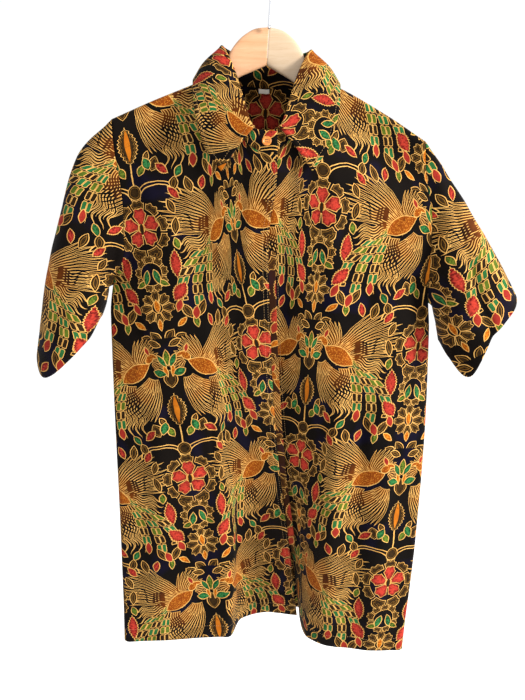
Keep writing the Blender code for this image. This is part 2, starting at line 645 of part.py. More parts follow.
def make_hook(look):
    """A steel wire: straight shank, a bend to the side, then more than half a round."""
    centre_z = -(HOOK_RADIUS - HOOK_WIRE / 2)
    foot = -HOOK_DROP + SEAM
    points = [(0.0, foot), (0.0, mix(foot, HOOK_BEND, 0.5)), (0.0, HOOK_BEND)]
    a, b = (0.0, HOOK_BEND), (0.0, HOOK_BEND + HOOK_PULL["shank"])
    c, d = (HOOK_RADIUS, centre_z - HOOK_PULL["round"]), (HOOK_RADIUS, centre_z)
    for i in range(1, 12):
        t = i / 12
        points.append(tuple(a[k] * (1 - t) ** 3 + 3 * b[k] * t * (1 - t) ** 2
                            + 3 * c[k] * t * t * (1 - t) + d[k] * t ** 3 for k in range(2)))
    for i in range(25):
        angle = math.radians(HOOK_ROUND * i / 24)
        points.append((HOOK_RADIUS * math.cos(angle), centre_z + HOOK_RADIUS * math.sin(angle)))
    wire = bpy.data.curves.new("hanger_hook", "CURVE")
    wire.dimensions = "3D"
    wire.bevel_depth = HOOK_WIRE / 2
    wire.bevel_resolution = 2
    wire.use_fill_caps = True
    line = wire.splines.new("POLY")
    line.points.add(len(points) - 1)
    for spot, (x, z) in zip(line.points, points):
        spot.co = (x, 0.0, z, 1.0)
    wire.materials.append(look)
    made = bpy.data.objects.new("hanger_hook", wire)
    bpy.context.collection.objects.link(made)
    made.rotation_euler = (0.0, HANGER_TILT, 0.0)
    return made


def build():
    for old in list(bpy.data.objects):
        bpy.data.objects.remove(old, do_unlink=True)
    batik = material("batik_cotton", (0.13, 0.08, 0.03), 0.85)
    inner_batik = material("batik_cotton_inside", (0.10, 0.05, 0.025), 0.88)
    button_look = material("button_shell", (0.36, 0.15, 0.03), 0.35)
    tape = material("white_tape", (0.85, 0.84, 0.80), 0.8)
    wood = material("beech", (0.82, 0.52, 0.28), 0.45)
    steel = material("steel_wire", (0.75, 0.76, 0.78), 0.25, 1.0)
    make_front("front_right", -1.0, batik)
    make_front("front_left", 1.0, batik)
    make_back(batik)
    make_sleeve("sleeve_right", -1.0, batik)
    make_sleeve("sleeve_left", 1.0, batik)
    make_stand(batik)
    make_leaf(batik)
    make_fly(inner_batik)
    make_button(button_look)
    make_tab(tape)
    make_blade("hanger_right", -1.0, wood)
    make_blade("hanger_left", 1.0, wood)
    make_hook(steel)


build()
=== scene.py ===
import math

import bmesh
import bpy
import numpy
from mathutils import Matrix, Vector, noise


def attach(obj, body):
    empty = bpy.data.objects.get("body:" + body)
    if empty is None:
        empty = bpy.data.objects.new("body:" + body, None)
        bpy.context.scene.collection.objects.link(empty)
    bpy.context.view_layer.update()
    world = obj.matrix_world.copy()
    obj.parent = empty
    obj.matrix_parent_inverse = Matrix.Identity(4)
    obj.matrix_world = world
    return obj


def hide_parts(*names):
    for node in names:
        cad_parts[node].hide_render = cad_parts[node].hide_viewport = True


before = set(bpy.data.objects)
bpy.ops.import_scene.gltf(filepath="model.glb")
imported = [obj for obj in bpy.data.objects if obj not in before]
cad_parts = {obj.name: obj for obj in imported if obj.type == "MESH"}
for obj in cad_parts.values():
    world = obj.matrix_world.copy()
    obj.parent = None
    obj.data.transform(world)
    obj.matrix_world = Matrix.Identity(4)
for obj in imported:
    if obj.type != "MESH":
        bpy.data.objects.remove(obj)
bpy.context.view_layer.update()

# Short-sleeved batik shirt on a wooden hanger. Metres, +Z up, the shirt's front faces -Y.

shape = dict(
    setBack=0.0001,      # panels meet at the shoulder and side seams
    neckX=-0.009,
    hemZ=-0.905,
    hemTilt=-0.013,
    underarm=0.715,
    turnRadius=0.0080,
    frontNeck=0.40,
    backNeck=0.33,
    armholeGape=0.030,
    turnStart=0.93,
    neckLap=0.0125,
    neckDip=0.0050,
    neckDipReach=0.30,
    neckOver=-0.0024,
    neckUnder=0.0048,
    hangerShift=0.0125,
    ventTop=0.060,
    ventGape=0.0035,
    backHemX=-0.012,
    wrapRadius=0.0085,
    wrapFade=0.05,
    topBlend=0.11,
    tentNeck=0.25,
    tentArm=0.30,
    neckSlope=1.2,
    neckSlopeFall=0.042,
    sideNeck=0.42,
    leafEnd=0.92,
    leafStart=0.0004,
    leafBelly=0.0035,
    sleeveMiddle=-0.015,
    sleeveClear=0.0002,
)


def tabled(names, rows):
    return [dict(zip(names.split(), row)) for row in rows]


# hem to shoulder; at each height (v) the free edge, the valley behind it, the step, the ridge and
# the flat of the wearer's right front, each as x and y
rightFront = tabled("v edge valley step ridge flat", (
    (0.00, (0.0385, 0.036), (0.000, 0.037), (-0.046, 0.016), (-0.0640, -0.027), (-0.135, -0.034)),
    (0.20, (0.0240, 0.012), (-0.012, 0.016), (-0.052, 0.000), (-0.0720, -0.031), (-0.140, -0.037)),
    (0.43, (0.0060, -0.018), (-0.030, -0.014), (-0.060, -0.022), (-0.0800, -0.038), (-0.142, -0.041)),
    (0.64, (-0.0030, -0.041), (-0.036, -0.040), (-0.066, -0.042), (-0.0880, -0.047), (-0.145, -0.043)),
    (0.85, (-0.0070, -0.054), (-0.036, -0.052), (-0.064, -0.050), (-0.0880, -0.047), (-0.140, -0.042)),
))
rightKnots = dict(edge=0.0, valley=0.14, step=0.29, ridge=0.40, flat=0.66)

# the wearer's left front: its free edge lies under the other front, then falls back beside it
leftFront = tabled("v edge under ridge crest flat", (
    (0.00, (0.0430, 0.050), (0.0445, 0.020), (0.0500, -0.008), (0.0800, -0.031), (0.130, -0.040)),
    (0.20, (0.0260, 0.034), (0.0400, 0.012), (0.0560, -0.021), (0.0830, -0.040), (0.135, -0.044)),
    (0.43, (-0.0100, -0.004), (0.0200, -0.010), (0.0570, -0.036), (0.0830, -0.047), (0.138, -0.046)),
    (0.64, (-0.0210, -0.031), (0.0110, -0.031), (0.0420, -0.049), (0.0720, -0.053), (0.138, -0.047)),
    (0.85, (-0.0250, -0.047), (0.0060, -0.0480), (0.0340, -0.053), (0.0640, -0.053), (0.132, -0.044)),
))
leftKnots = dict(edge=0.0, under=0.14, ridge=0.28, crest=0.42, flat=0.68)

# side seams below the underarm and armholes above it: x, and y of the front and back edges
rightSide = tabled("v x front back", (
    (0.00, -0.2112, -0.0290, -0.0290),
    (0.25, -0.2105, -0.0240, -0.0240),
    (0.50, -0.2110, -0.0200, -0.0200),
    (0.66, -0.2105, -0.0160, -0.0160),
    (shape["underarm"], -0.2060, -0.0125, -0.0125),
    (0.78, -0.1870, -0.0340, 0.0150),
    (0.88, -0.1855, -0.0360, 0.0160),
    (0.95, -0.1895, -0.0310, 0.0060),
    (1.00, -0.1970, -0.0160, -0.0160),
))
leftSide = tabled("v x front back", (
    (0.00, 0.1860, -0.0300, -0.0300),
    (0.25, 0.1985, -0.0260, -0.0260),
    (0.50, 0.2035, -0.0220, -0.0220),
    (0.66, 0.2025, -0.0180, -0.0180),
    (shape["underarm"], 0.2000, -0.0145, -0.0145),
    (0.78, 0.1960, -0.0360, 0.0130),
    (0.88, 0.1960, -0.0380, 0.0150),
    (0.95, 0.1910, -0.0320, 0.0060),
    (1.00, 0.1850, -0.0150, -0.0150),
))

# the back, hem to shoulder: y at the middle, at the quarters and at the turns into the sides
backForm = tabled("v middle quarter turn", (
    (0.00, 0.060, 0.050, 0.004),
    (0.25, 0.057, 0.049, 0.006),
    (0.50, 0.054, 0.047, 0.008),
    (0.70, 0.051, 0.043, 0.012),
    (0.85, 0.049, 0.036, 0.020),
))

backPlaces = dict(middle=0.0, quarter=0.48, turn=0.82)   # where those are, across half the back

# shoulder seams from the neck outwards: x from the origin and z
rightShoulder = tabled("x z", (
    (-0.0690, -0.1380),
    (-0.0970, -0.1500),
    (-0.1500, -0.1715),
    (-0.1970, -0.1925),
))
leftShoulder = tabled("x z", (
    (0.0510, -0.1430),
    (0.0790, -0.1545),
    (0.1400, -0.1890),
    (0.1850, -0.2190),
))

# half of the neck, from the middle of the back (0) round to the fastening (1); x is from shape["neckX"].
# seam: where stand and body meet.  fold: top of the stand.  edge: outer edge of the leaf
neckLine = tabled("s seam fold edge", (
    (0.00, (0.000, 0.0500, -0.1500), (0.000, 0.0530, -0.1150), (0.000, 0.0670, -0.1560)),
    (0.22, (0.037, 0.0430, -0.1475), (0.034, 0.0450, -0.1120), (0.055, 0.0560, -0.1540)),
    (0.42, (0.060, 0.0080, -0.1380), (0.053, 0.0130, -0.1070), (0.090, 0.0100, -0.1440)),
    (0.62, (0.050, -0.0240, -0.1700), (0.038, -0.0130, -0.1430), (0.086, -0.0370, -0.1820)),
    (0.80, (0.034, -0.0460, -0.2080), (0.0265, -0.0365, -0.1780), (0.076, -0.0520, -0.2220)),
    (0.92, (0.013, -0.0560, -0.2290), (0.0150, -0.0515, -0.2050), (0.054, -0.0600, -0.2535)),
    (1.00, (0.000, -0.0570, -0.2330), (0.0000, -0.0535, -0.2085), (0.054, -0.0600, -0.2535)),
))
# the leaf's path over its fold: out from the stand and up or down from its top
leafCrown = dict(out=0.0026, up=0.0012)
leafPast = dict(out=0.0054, down=0.0036)
leafKnots = (0.0, 0.12, 0.26, 0.62, 1.0)

# sleeves from the armhole (t = 0) to the cuff: outer fold, inner fold, front and back y
rightSleeve = tabled("t outer inner front back", (
    (0.25, (-0.2400, -0.2320), (-0.2130, -0.3990), -0.046, 0.022),
    (0.50, (-0.2685, -0.3080), (-0.2165, -0.4110), -0.056, 0.027),
    (0.75, (-0.2925, -0.3900), (-0.2205, -0.4240), -0.064, 0.030),
    (1.00, (-0.3080, -0.4750), (-0.2260, -0.4370), -0.070, 0.032),
))
leftSleeve = tabled("t outer inner front back", (
    (0.25, (0.2220, -0.2660), (0.2065, -0.4240), -0.050, 0.020),
    (0.50, (0.2550, -0.3230), (0.2095, -0.4360), -0.061, 0.021),
    (0.75, (0.2850, -0.3640), (0.2130, -0.4490), -0.070, 0.020),
    (1.00, (0.3100, -0.4060), (0.2175, -0.4660), -0.076, 0.016),
))

# how far the front of each cuff droops below the line from fold to fold, by angle from the outer fold
rightDroop = tabled("angle drop", (
    (0, 0.000),
    (62, 0.042),
    (140, 0.020),
    (180, 0.000),
    (360, 0.000),
))
leftDroop = tabled("angle drop", (
    (0, 0.000),
    (80, 0.018),
    (112, 0.056),
    (150, 0.022),
    (180, 0.004),
    (360, 0.000),
))

# one arm of the hanger, from its middle outwards, untilted: top and bottom of the wood
hangerArm = tabled("x top bottom", (
    (0.000, -0.0835, -0.1275),
    (0.015, -0.0860, -0.1350),
    (0.030, -0.0950, -0.1425),
    (0.040, -0.1060, -0.1490),
    (0.047, -0.1185, -0.1560),
    (0.055, -0.1440, -0.1650),
    (0.065, -0.1530, -0.1750),
    (0.090, -0.1660, -0.1930),
    (0.140, -0.1890, -0.2170),
    (0.172, -0.2055, -0.2320),
    (0.186, -0.2170, -0.2360),
    (0.191, -0.2240, -0.2320),
))
hangerBow = dict(middle=0.012, forward=0.030, reach=0.200, power=1.5)


def ease(t):
    t = max(0.0, min(1.0, t))
    return t * t * (3.0 - 2.0 * t)


def mix(a, b, t):
    return a + (b - a) * t


def smooth(knots, values, t):
    if t <= knots[0]:
        return values[0]
    if t >= knots[-1]:
        return values[-1]
    steps = [(values[i + 1] - values[i]) / (knots[i + 1] - knots[i]) for i in range(len(knots) - 1)]
    slopes = [steps[0]]
    for before, after in zip(steps, steps[1:]):
        slopes.append(0.0 if before * after <= 0 else 2.0 * before * after / (before + after))
    slopes.append(steps[-1])
    i = max(k for k in range(len(knots) - 1) if knots[k] <= t)
    width = knots[i + 1] - knots[i]
    f = (t - knots[i]) / width
    return (values[i] * (1 + 2 * f) * (1 - f) ** 2 + values[i + 1] * f * f * (3 - 2 * f)
            + slopes[i] * width * f * (1 - f) ** 2 - slopes[i + 1] * width * f * f * (1 - f))


def column(table, key, name, t, axis=None):
    values = [row[name] if axis is None else row[name][axis] for row in table]
    return smooth([row[key] for row in table], values, t)


def bow(x):
    return hangerBow["middle"] - hangerBow["forward"] * (abs(x) / hangerBow["reach"]) ** hangerBow["power"]


def neckPoint(s, line, hand, lap=0.0):
    end = ease((s - shape["leafEnd"]) / (1.0 - shape["leafEnd"]))
    x = shape["neckX"] + hand * column(neckLine, "s", line, s, 0) - hand * lap * end
    step = shape["neckOver"] if hand < 0 else shape["neckUnder"]
    y = column(neckLine, "s", line, s, 1) + step * end * (lap > 0)
    near = ease(1.0 - abs(s - shape["sideNeck"]) / shape["neckDipReach"])
    dip = shape["neckDip"] * near if hand > 0 else 0.0
    return Vector((x, y, column(neckLine, "s", line, s, 2) - dip))


def neckAxes(s, line, hand, lap=0.0):
    along = neckPoint(min(1.0, s + 0.02), line, hand, lap) - neckPoint(max(0.0, s - 0.02), line, hand, lap)
    along.normalize()
    up = neckPoint(s, "fold", hand, lap) - neckPoint(s, "seam", hand, lap)
    up = (up - along * up.dot(along)).normalized()
    out = along.cross(up).normalized()
    if out.x * (neckPoint(s, line, hand).x - shape["neckX"]) + out.y * neckPoint(s, line, hand).y < 0:
        out = -out
    return up, out


def shoulderPoint(hand, t):
    table = rightShoulder if hand < 0 else leftShoulder
    x = mix(table[0]["x"], table[-1]["x"], t)
    z = smooth([abs(row["x"]) for row in table], [row["z"] for row in table], abs(x))
    nearNeck = neckPoint(shape["sideNeck"], "seam", hand)
    return Vector((x, mix(nearNeck.y, bow(x + shape["hangerShift"]), ease(t / 0.25)), z))


def overHanger(down):
    if down >= shape["wrapRadius"]:
        return shape["wrapRadius"]
    return math.sqrt(shape["wrapRadius"] ** 2 - (shape["wrapRadius"] - down) ** 2)


def wrapShare(p, neckShare):
    return ease(1.0 - (neckShare - p) / shape["wrapFade"])


def sideTable(hand):
    return rightSide if hand < 0 else leftSide


def turnedEdge(hand, face, along, v):
    table = sideTable(hand)
    out = -1.0 if face == "front" else 1.0
    x = column(table, "v", "x", v)
    y = column(table, "v", face if v > shape["underarm"] else "front", v)
    y += out * shape["ventGape"] * max(0.0, 1.0 - v / shape["ventTop"])
    gape = column(table, "v", "back", v) - column(table, "v", "front", v) if v > shape["underarm"] else 0.0
    opened = ease(gape / shape["armholeGape"])
    angle = along * math.pi / 2
    turned = (x - hand * shape["turnRadius"] * (1 - math.sin(angle)),
              y + out * shape["turnRadius"] * math.cos(angle))
    straight = (x - hand * shape["turnRadius"] * (1 - along), y)
    return mix(turned[0], straight[0], opened), mix(turned[1], straight[1], opened)


def frontTop(hand, p):
    if p < shape["frontNeck"]:
        s = mix(1.0, shape["sideNeck"], (p / shape["frontNeck"]) ** 1.5)
        return neckPoint(s, "seam", hand, shape["neckLap"])
    return shoulderPoint(hand, (p - shape["frontNeck"]) / (1.0 - shape["frontNeck"]))


def frontPoint(hand, p, v):
    table = rightFront if hand < 0 else leftFront
    knots = rightKnots if hand < 0 else leftKnots
    top = frontTop(hand, p)
    share = wrapShare(p, shape["frontNeck"])
    xs, ys, places = [], [], []
    for name, place in knots.items():
        edgeTop = frontTop(hand, place)
        atTop = edgeTop.y - shape["wrapRadius"] * wrapShare(place, shape["frontNeck"])
        vs = [row["v"] for row in table] + [1.0]
        xs.append(smooth(vs, [row[name][0] for row in table] + [edgeTop.x], v))
        ys.append(smooth(vs, [row[name][1] for row in table] + [atTop], v))
        places.append(place)
    along = max(0.0, (p - shape["turnStart"]) / (1.0 - shape["turnStart"]))
    turnX, turnY = turnedEdge(hand, "front", along, v)
    if along <= 0.0:
        xs.append(turnX)
        ys.append(turnY)
        places.append(shape["turnStart"])
        x = smooth(places, xs, p)
        y = smooth(places, ys, p)
    else:
        x, y = turnX, turnY
    down = (1.0 - v) * (top.z - shape["hemZ"])
    x = mix(top.x, x, ease(down / shape["topBlend"]))
    reach = shape["tentArm"] if p > shape["frontNeck"] else shape["tentNeck"]
    tent = ease(1.0 - abs(p - shape["frontNeck"]) / reach)
    slope = tent * shape["neckSlope"] * min(down, shape["neckSlopeFall"])
    near = top.y - math.hypot(share * overHanger(down), slope)
    y = mix(near, y, ease(down / shape["topBlend"]))
    y = y - shape["setBack"] if p >= shape["frontNeck"] else y
    hem = hemHeight(frontHemX(hand, p))
    return Vector((x, y, mix(hem, top.z, v)))


def frontHemX(hand, p):
    side = sideTable(hand)[0]["x"]
    edge = (rightFront if hand < 0 else leftFront)[0]["edge"][0]
    return mix(edge, side, p)


def backTop(hand, p):
    if p < shape["backNeck"]:
        return neckPoint(shape["sideNeck"] * p / shape["backNeck"], "seam", hand)
    return shoulderPoint(hand, (p - shape["backNeck"]) / (1.0 - shape["backNeck"]))


def backPoint(u, v):
    hand = -1.0 if u < 0 else 1.0
    p = abs(u)
    top = backTop(hand, p)
    middleX = mix(shape["backHemX"], shape["neckX"], v)
    along = max(0.0, (p - shape["turnStart"]) / (1.0 - shape["turnStart"]))
    turnX, turnY = turnedEdge(hand, "back", along, v)
    if along <= 0.0:
        x = mix(middleX, turnX, p / shape["turnStart"])
        heights = [row["v"] for row in backForm] + [1.0]
        ys = []
        for name, place in backPlaces.items():
            edgeTop = backTop(hand, place)
            atTop = edgeTop.y + shape["wrapRadius"] * wrapShare(place, shape["backNeck"])
            ys.append(smooth(heights, [row[name] for row in backForm] + [atTop], v))
        y = smooth([*backPlaces.values(), shape["turnStart"]], ys + [turnY], p)
    else:
        x, y = turnX, turnY
    down = (1.0 - v) * (top.z - shape["hemZ"])
    x = mix(top.x, x, ease(down / shape["topBlend"]))
    near = top.y + wrapShare(p, shape["backNeck"]) * overHanger(down)
    y = mix(near, y, ease(down / shape["topBlend"]))
    y = y + shape["setBack"] if p >= shape["backNeck"] else y
    return Vector((x, y, mix(hemHeight(x), top.z, v)))


def hemHeight(x):
    return shape["hemZ"] + shape["hemTilt"] * ease((x + 0.05) / 0.15)


def sleevePoint(hand, angle, t):
    table = rightSleeve if hand < 0 else leftSleeve
    droop = rightDroop if hand < 0 else leftDroop
    outward = (1.0 + math.cos(angle)) / 2
    front = math.sin(angle) >= 0
    v = mix(shape["underarm"], 1.0, outward)
    armhole = frontPoint(hand, 1.0, v) if front else backPoint(hand, v)
    start = armhole + Vector((hand * shape["sleeveClear"], 0.0, 0.0))
    rings = [start]
    for row in table:
        x = mix(row["inner"][0], row["outer"][0], outward)
        z = mix(row["inner"][1], row["outer"][1], outward)
        depth = (row["front"] if front else row["back"]) - shape["sleeveMiddle"]
        rings.append(Vector((x, shape["sleeveMiddle"] + depth * abs(math.sin(angle)), z)))
    knots = [0.0] + [row["t"] for row in table]
    point = Vector([smooth(knots, [ring[axis] for ring in rings], t) for axis in range(3)])
    point.z -= column(droop, "angle", "drop", math.degrees(angle) % 360.0) * t * t
    return point


def standPoint(q, h):
    hand = -1.0 if q > 0 else 1.0
    s = abs(q)
    seam = neckPoint(s, "seam", hand, shape["neckLap"])
    fold = neckPoint(s, "fold", hand, shape["neckLap"])
    return mix(seam, fold, h)


def leafPoint(q, w):
    hand = -1.0 if q > 0 else 1.0
    s = abs(q)
    fold = neckPoint(s, "fold", hand)
    edge = neckPoint(s, "edge", hand)
    up, away = neckAxes(s, "fold", hand)
    start = fold + up * shape["leafStart"]
    crown = start + away * leafCrown["out"] + up * leafCrown["up"]
    past = start + away * leafPast["out"] - up * leafPast["down"]
    belly = mix(past, edge, 0.5) + away * shape["leafBelly"]
    path = (start, crown, past, belly, edge)
    return Vector([smooth(leafKnots, [point[axis] for point in path], w) for axis in range(3)])


# a node's output, with the usual arithmetic
class Value:
    def __init__(self, look, socket):
        self.look = look
        self.socket = socket

    def maths(self, operation, *others):
        return self.look.maths(operation, self, *others)

    def __add__(self, other):
        return self.maths("ADD", other)

    def __sub__(self, other):
        return self.maths("SUBTRACT", other)

    def __mul__(self, other):
        return self.maths("MULTIPLY", other)

    def __truediv__(self, other):
        return self.maths("DIVIDE", other)

    def __pow__(self, other):
        return self.maths("POWER", other)

    def __radd__(self, other):
        return self.maths("ADD", other)

    def __rmul__(self, other):
        return self.maths("MULTIPLY", other)

    def __rsub__(self, other):
        return self.look.maths("SUBTRACT", other, self)

    def __rtruediv__(self, other):
        return self.look.maths("DIVIDE", other, self)

    def __neg__(self):
        return self.maths("MULTIPLY", -1.0)

    def __abs__(self):
        return self.maths("ABSOLUTE")

    def __mod__(self, other):
        return self.maths("FLOORED_MODULO", other)

    def __lt__(self, other):
        return self.maths("LESS_THAN", other)

    def __gt__(self, other):
        return self.maths("GREATER_THAN", other)

    def least(self, other):
        return self.maths("MINIMUM", other)

    def most(self, other):
        return self.maths("MAXIMUM", other)

    def clamped(self):
        return self.maths("MAXIMUM", 0.0).maths("MINIMUM", 1.0)


class Look:
    def __init__(self, name, copied=None):
        self.material = copied or bpy.data.materials.new(name)
        self.material.name = name
        self.material.use_nodes = True
        self.tree = self.material.node_tree
        self.shader = self.tree.nodes["Principled BSDF"]

    def put(self, socket, value):
        if isinstance(value, Value):
            self.tree.links.new(value.socket, socket)
        elif isinstance(value, bpy.types.NodeSocket):
            self.tree.links.new(value, socket)
        else:
            socket.default_value = value

    def node(self, kind, settings=None, values=None):
        made = self.tree.nodes.new(kind)
        for name, value in (settings or {}).items():
            setattr(made, name, value)
        for name, value in (values or {}).items():
            self.put(made.inputs[name], value)
        return made

    def value(self, made, name=0):
        return Value(self, made.outputs[name])

    def maths(self, operation, *values):
        made = self.node("ShaderNodeMath", dict(operation=operation), dict(enumerate(values)))
        return self.value(made)

    def spot(self):
        return self.node("ShaderNodeTexCoord").outputs["Object"]

    def grain(self):
        return self.value(self.node("ShaderNodeUVMap", dict(uv_map="grain")), "UV")

    def vector(self, x, y):
        return self.value(self.node("ShaderNodeCombineXYZ", None, dict(X=x, Y=y)))

    def parts(self, vector):
        made = self.node("ShaderNodeSeparateXYZ", None, dict(Vector=vector))
        return self.value(made, "X"), self.value(made, "Y")

    def length(self, vector):
        made = self.node("ShaderNodeVectorMath", dict(operation="LENGTH"), {0: vector})
        return self.value(made, "Value")

    def placed(self, vector, at, turn=0.0, size=(1.0, 1.0)):
        made = self.node("ShaderNodeMapping", dict(vector_type="TEXTURE"), dict(
            Vector=vector, Location=(at[0], at[1], 0.0),
            Rotation=(0.0, 0.0, math.radians(turn)), Scale=(size[0], size[1], 1.0)))
        return self.value(made)

    def noise(self, vector, scale, detail=2.0, rough=0.5):
        made = self.node("ShaderNodeTexNoise", dict(noise_dimensions="3D"), dict(
            Vector=vector, Scale=scale, Detail=detail, Roughness=rough))
        return self.value(made, "Fac")

    def mixed(self, factor, first, second):
        made = self.node("ShaderNodeMix", dict(data_type="RGBA"), {0: factor, 6: first, 7: second})
        return self.value(made, 2)

    def bump(self, height, distance, strength=1.0, below=None):
        values = dict(Height=height, Distance=distance, Strength=strength)
        if below is not None:
            values["Normal"] = below
        return self.value(self.node("ShaderNodeBump", None, values))

    def finish(self, constants, links):
        for name, value in {**constants, **links}.items():
            self.put(self.shader.inputs[name], value)
        return self.material


def colour(red, green, blue):
    return tuple((part / 255.0) ** 2.2 for part in (red, green, blue)) + (1.0,)


# the print, in millimetres: columns of ornaments mirrored about their axes, each column dropped by
# half a repeat from its neighbours; a is the distance from an axis and y runs down it
batik = dict(
    column=155.0,
    repeat=335.0,
    line=0.40,
    fine=0.27,
    weave=0.42,
    ground=(colour(5, 4, 7), colour(9, 9, 28)),
    cream=(colour(172, 114, 44), colour(232, 184, 106)),
    feather=(colour(104, 52, 12), colour(10, 8, 8)),
    body=(colour(92, 40, 10), colour(146, 74, 20)),
    brown=(colour(14, 10, 8), colour(50, 36, 18)),
    fleck=(colour(150, 84, 22), colour(204, 134, 50)),
    vein=(colour(78, 50, 18), colour(140, 100, 42)),
    gold=(colour(130, 62, 12), colour(196, 116, 30)),
    lime=(colour(34, 52, 18), colour(98, 114, 38)),
    emerald=(colour(12, 50, 28), colour(50, 114, 62)),
    red=(colour(84, 16, 18), colour(168, 54, 42)),
)

# leaf-shaped petals: class, a, y, turn in degrees, half width, half length, teeth
leaves = (
    ("lime", 0.0, -14.0, 0.0, 4.6, 11.0, 0.0),
    ("emerald", 7.5, -10.0, 30.0, 3.8, 10.0, 0.0),
    ("emerald", 13.0, 6.0, 72.0, 5.2, 9.0, 0.0),
    ("gold", 4.8, 3.0, 10.0, 2.4, 8.5, 0.0),
    ("brown", 0.0, 15.0, 0.0, 9.0, 12.0, 0.0),
    ("brown", 0.0, 58.0, 0.0, 13.0, 23.0, 0.20),
    ("lime", 13.0, 88.0, 30.0, 4.6, 7.6, 0.0),
    ("emerald", 20.5, 81.0, -20.0, 5.4, 8.6, 0.0),
    ("brown", 30.0, 82.0, 20.0, 6.6, 9.0, 0.0),
    ("red", 40.0, 88.5, -50.0, 5.0, 10.5, 0.12),
    ("brown", 53.0, 108.0, 20.0, 5.4, 8.2, 0.0),
    ("red", 50.0, 119.0, -36.0, 5.2, 9.5, 0.12),
    ("brown", 43.0, 134.0, -22.0, 4.6, 9.5, 0.0),
    ("brown", 44.0, 158.0, 14.0, 4.8, 11.0, 0.0),
    ("lime", 41.0, 179.0, -12.0, 4.2, 7.5, 0.0),
    ("red", 35.0, 203.0, 5.0, 7.6, 18.0, 0.20),
    ("red", 33.0, 238.0, 40.0, 9.0, 14.5, 0.20),
    ("emerald", 7.0, 217.0, -16.0, 4.4, 10.0, 0.0),
    ("lime", 15.0, 225.0, -62.0, 3.6, 7.5, 0.0),
    ("brown", 9.0, 293.0, 40.0, 5.6, 10.0, 0.0),
    ("brown", 22.0, 296.0, 66.0, 5.0, 9.0, 0.0),
    ("gold", 0.0, 254.0, 0.0, 3.6, 8.5, 0.0),
    ("brown", 14.0, -33.0, 66.0, 4.4, 9.0, 0.0),
    ("brown", 38.0, 264.0, -30.0, 5.6, 12.0, 0.15),
    ("gold", 29.0, 277.0, 52.0, 3.4, 8.5, 0.0),
    ("lime", 47.0, 279.0, -8.0, 4.0, 8.0, 0.0),
    ("brown", 57.0, 262.0, 26.0, 5.0, 11.0, 0.0),
    ("red", 68.0, 279.0, -20.0, 4.8, 9.0, 0.12),
    ("emerald", 61.0, 95.0, 34.0, 4.4, 8.0, 0.0),
    ("brown", 70.0, 112.0, -14.0, 5.2, 10.0, 0.0),
    ("brown", 15.0, 190.0, 40.0, 4.6, 8.5, 0.0),
    ("brown", 21.0, 72.0, 24.0, 3.8, 7.0, 0.0),
    ("gold", 0.0, 278.0, 0.0, 3.0, 7.5, 0.0),
)
# ellipses: class, a, y, turn, half width, half height
ovals = (
    ("brown", 0.0, 113.0, 0.0, 9.0, 8.6),
    ("gold", 0.0, 156.0, 0.0, 3.8, 8.0),
)
# flowers: class, y of the middle on the axis, petals, inner and outer radius
blooms = (
    ("brown", 158.0, 9, 25.5, 35.5),
    ("red", 156.0, 5, 5.0, 24.0),
    ("brown", 256.0, 8, 7.0, 21.5),
    ("brown", 213.0, 9, 14.5, 22.5),
)
# fans of feathers: a, y, middle direction in degrees from +a towards +y, spread, start, reach, curl, feathers
fans = (
    (20.0, 2.0, 74.0, 58.0, 17.0, 84.0, 0.55, 13),
    (26.0, 22.0, -43.0, 44.0, 27.0, 116.0, -0.30, 15),
    (44.0, 8.0, -98.0, 40.0, 15.0, 56.0, 0.40, 7),
    (27.0, -10.0, 190.0, 120.0, 6.0, 22.0, 0.35, 8),
)
# short scale feathers over their roots
scales = (
    (26.0, 22.0, -43.0, 50.0, 20.0, 50.0, -0.10, 8),
    (20.0, 2.0, 74.0, 62.0, 13.0, 34.0, 0.20, 7),
)
# wavy bundles: a, y, direction, half width, reach, feathers, wave
bundles = (
    (66.0, -6.0, -8.0, 7.0, 44.0, 5, 2.2),
    (66.0, 9.0, 14.0, 7.5, 46.0, 5, 2.2),
    (60.0, 20.0, 88.0, 11.0, 68.0, 7, 2.2),
)
# the three chained tail plumes of each bird, and the buds at their ends: a, y, turn
plumes = dict(a=58.0, y=6.0, fall=74.0, first=22.0, between=20.0, least=3.0, link=14.0, halfWidth=6.6,
              power=2.2, reach=(72.0, 88.0, 76.0))
buds = ((81.0, 84.0, 6.0), (106.0, 100.0, -16.0), (126.0, 88.0, -22.0))
# the rest of the bird, the spear's flame and the flower's seed, as leaves or ovals without their class
birdForm = dict(
    torso=(47.0, 4.0, -62.0, 10.5, 23.0, 0.0),
    head=(25.0, -14.0, -40.0, 4.6, 7.4),
    beak=(17.5, -17.0, 60.0, 2.4, 6.0, 0.0),
    crest=(27.0, -24.0, 20.0, 3.0, 6.5, 0.12),
    bud=(4.8, 8.6, 0.0),
    middle=(46.0, 4.0),
)
flameForm = (0.0, 57.0, 0.0, 3.6, 19.0, 0.0)
seedForm = (0.0, 157.0, 0.0, 2.6, 6.6)


def leafShape(look, place, a, y, turn, half, reach, teeth):
    across, along = look.parts(look.placed(place, (a, y), turn, (half, reach)))
    edge = abs(across) + along * along - 1.0
    if teeth:
        edge = edge + (along * 5.0).maths("PINGPONG", 0.5) * (2.0 * teeth)
    return edge * (half * 0.8)


def ovalShape(look, place, a, y, turn, half, tall):
    return (look.length(look.placed(place, (a, y), turn, (half, tall))) - 1.0) * min(half, tall)


def bloomShape(look, place, y, petals, inner, outer):
    across, down = look.parts(look.placed(place, (0.0, y)))
    radius = look.length(look.vector(across, down))
    angle = across.maths("ARCTAN2", -down)
    side = abs((angle * (petals / math.tau) + 0.5) % 1.0 - 0.5) * 2.0
    edge = (side - 0.84) * radius * (math.pi / petals)
    notch = (side * math.tau * 1.5).maths("COSINE") * 1.1
    tip = radius - outer + side * side * ((outer - inner) * 0.38) + notch
    return edge.most(tip).most(inner - radius)


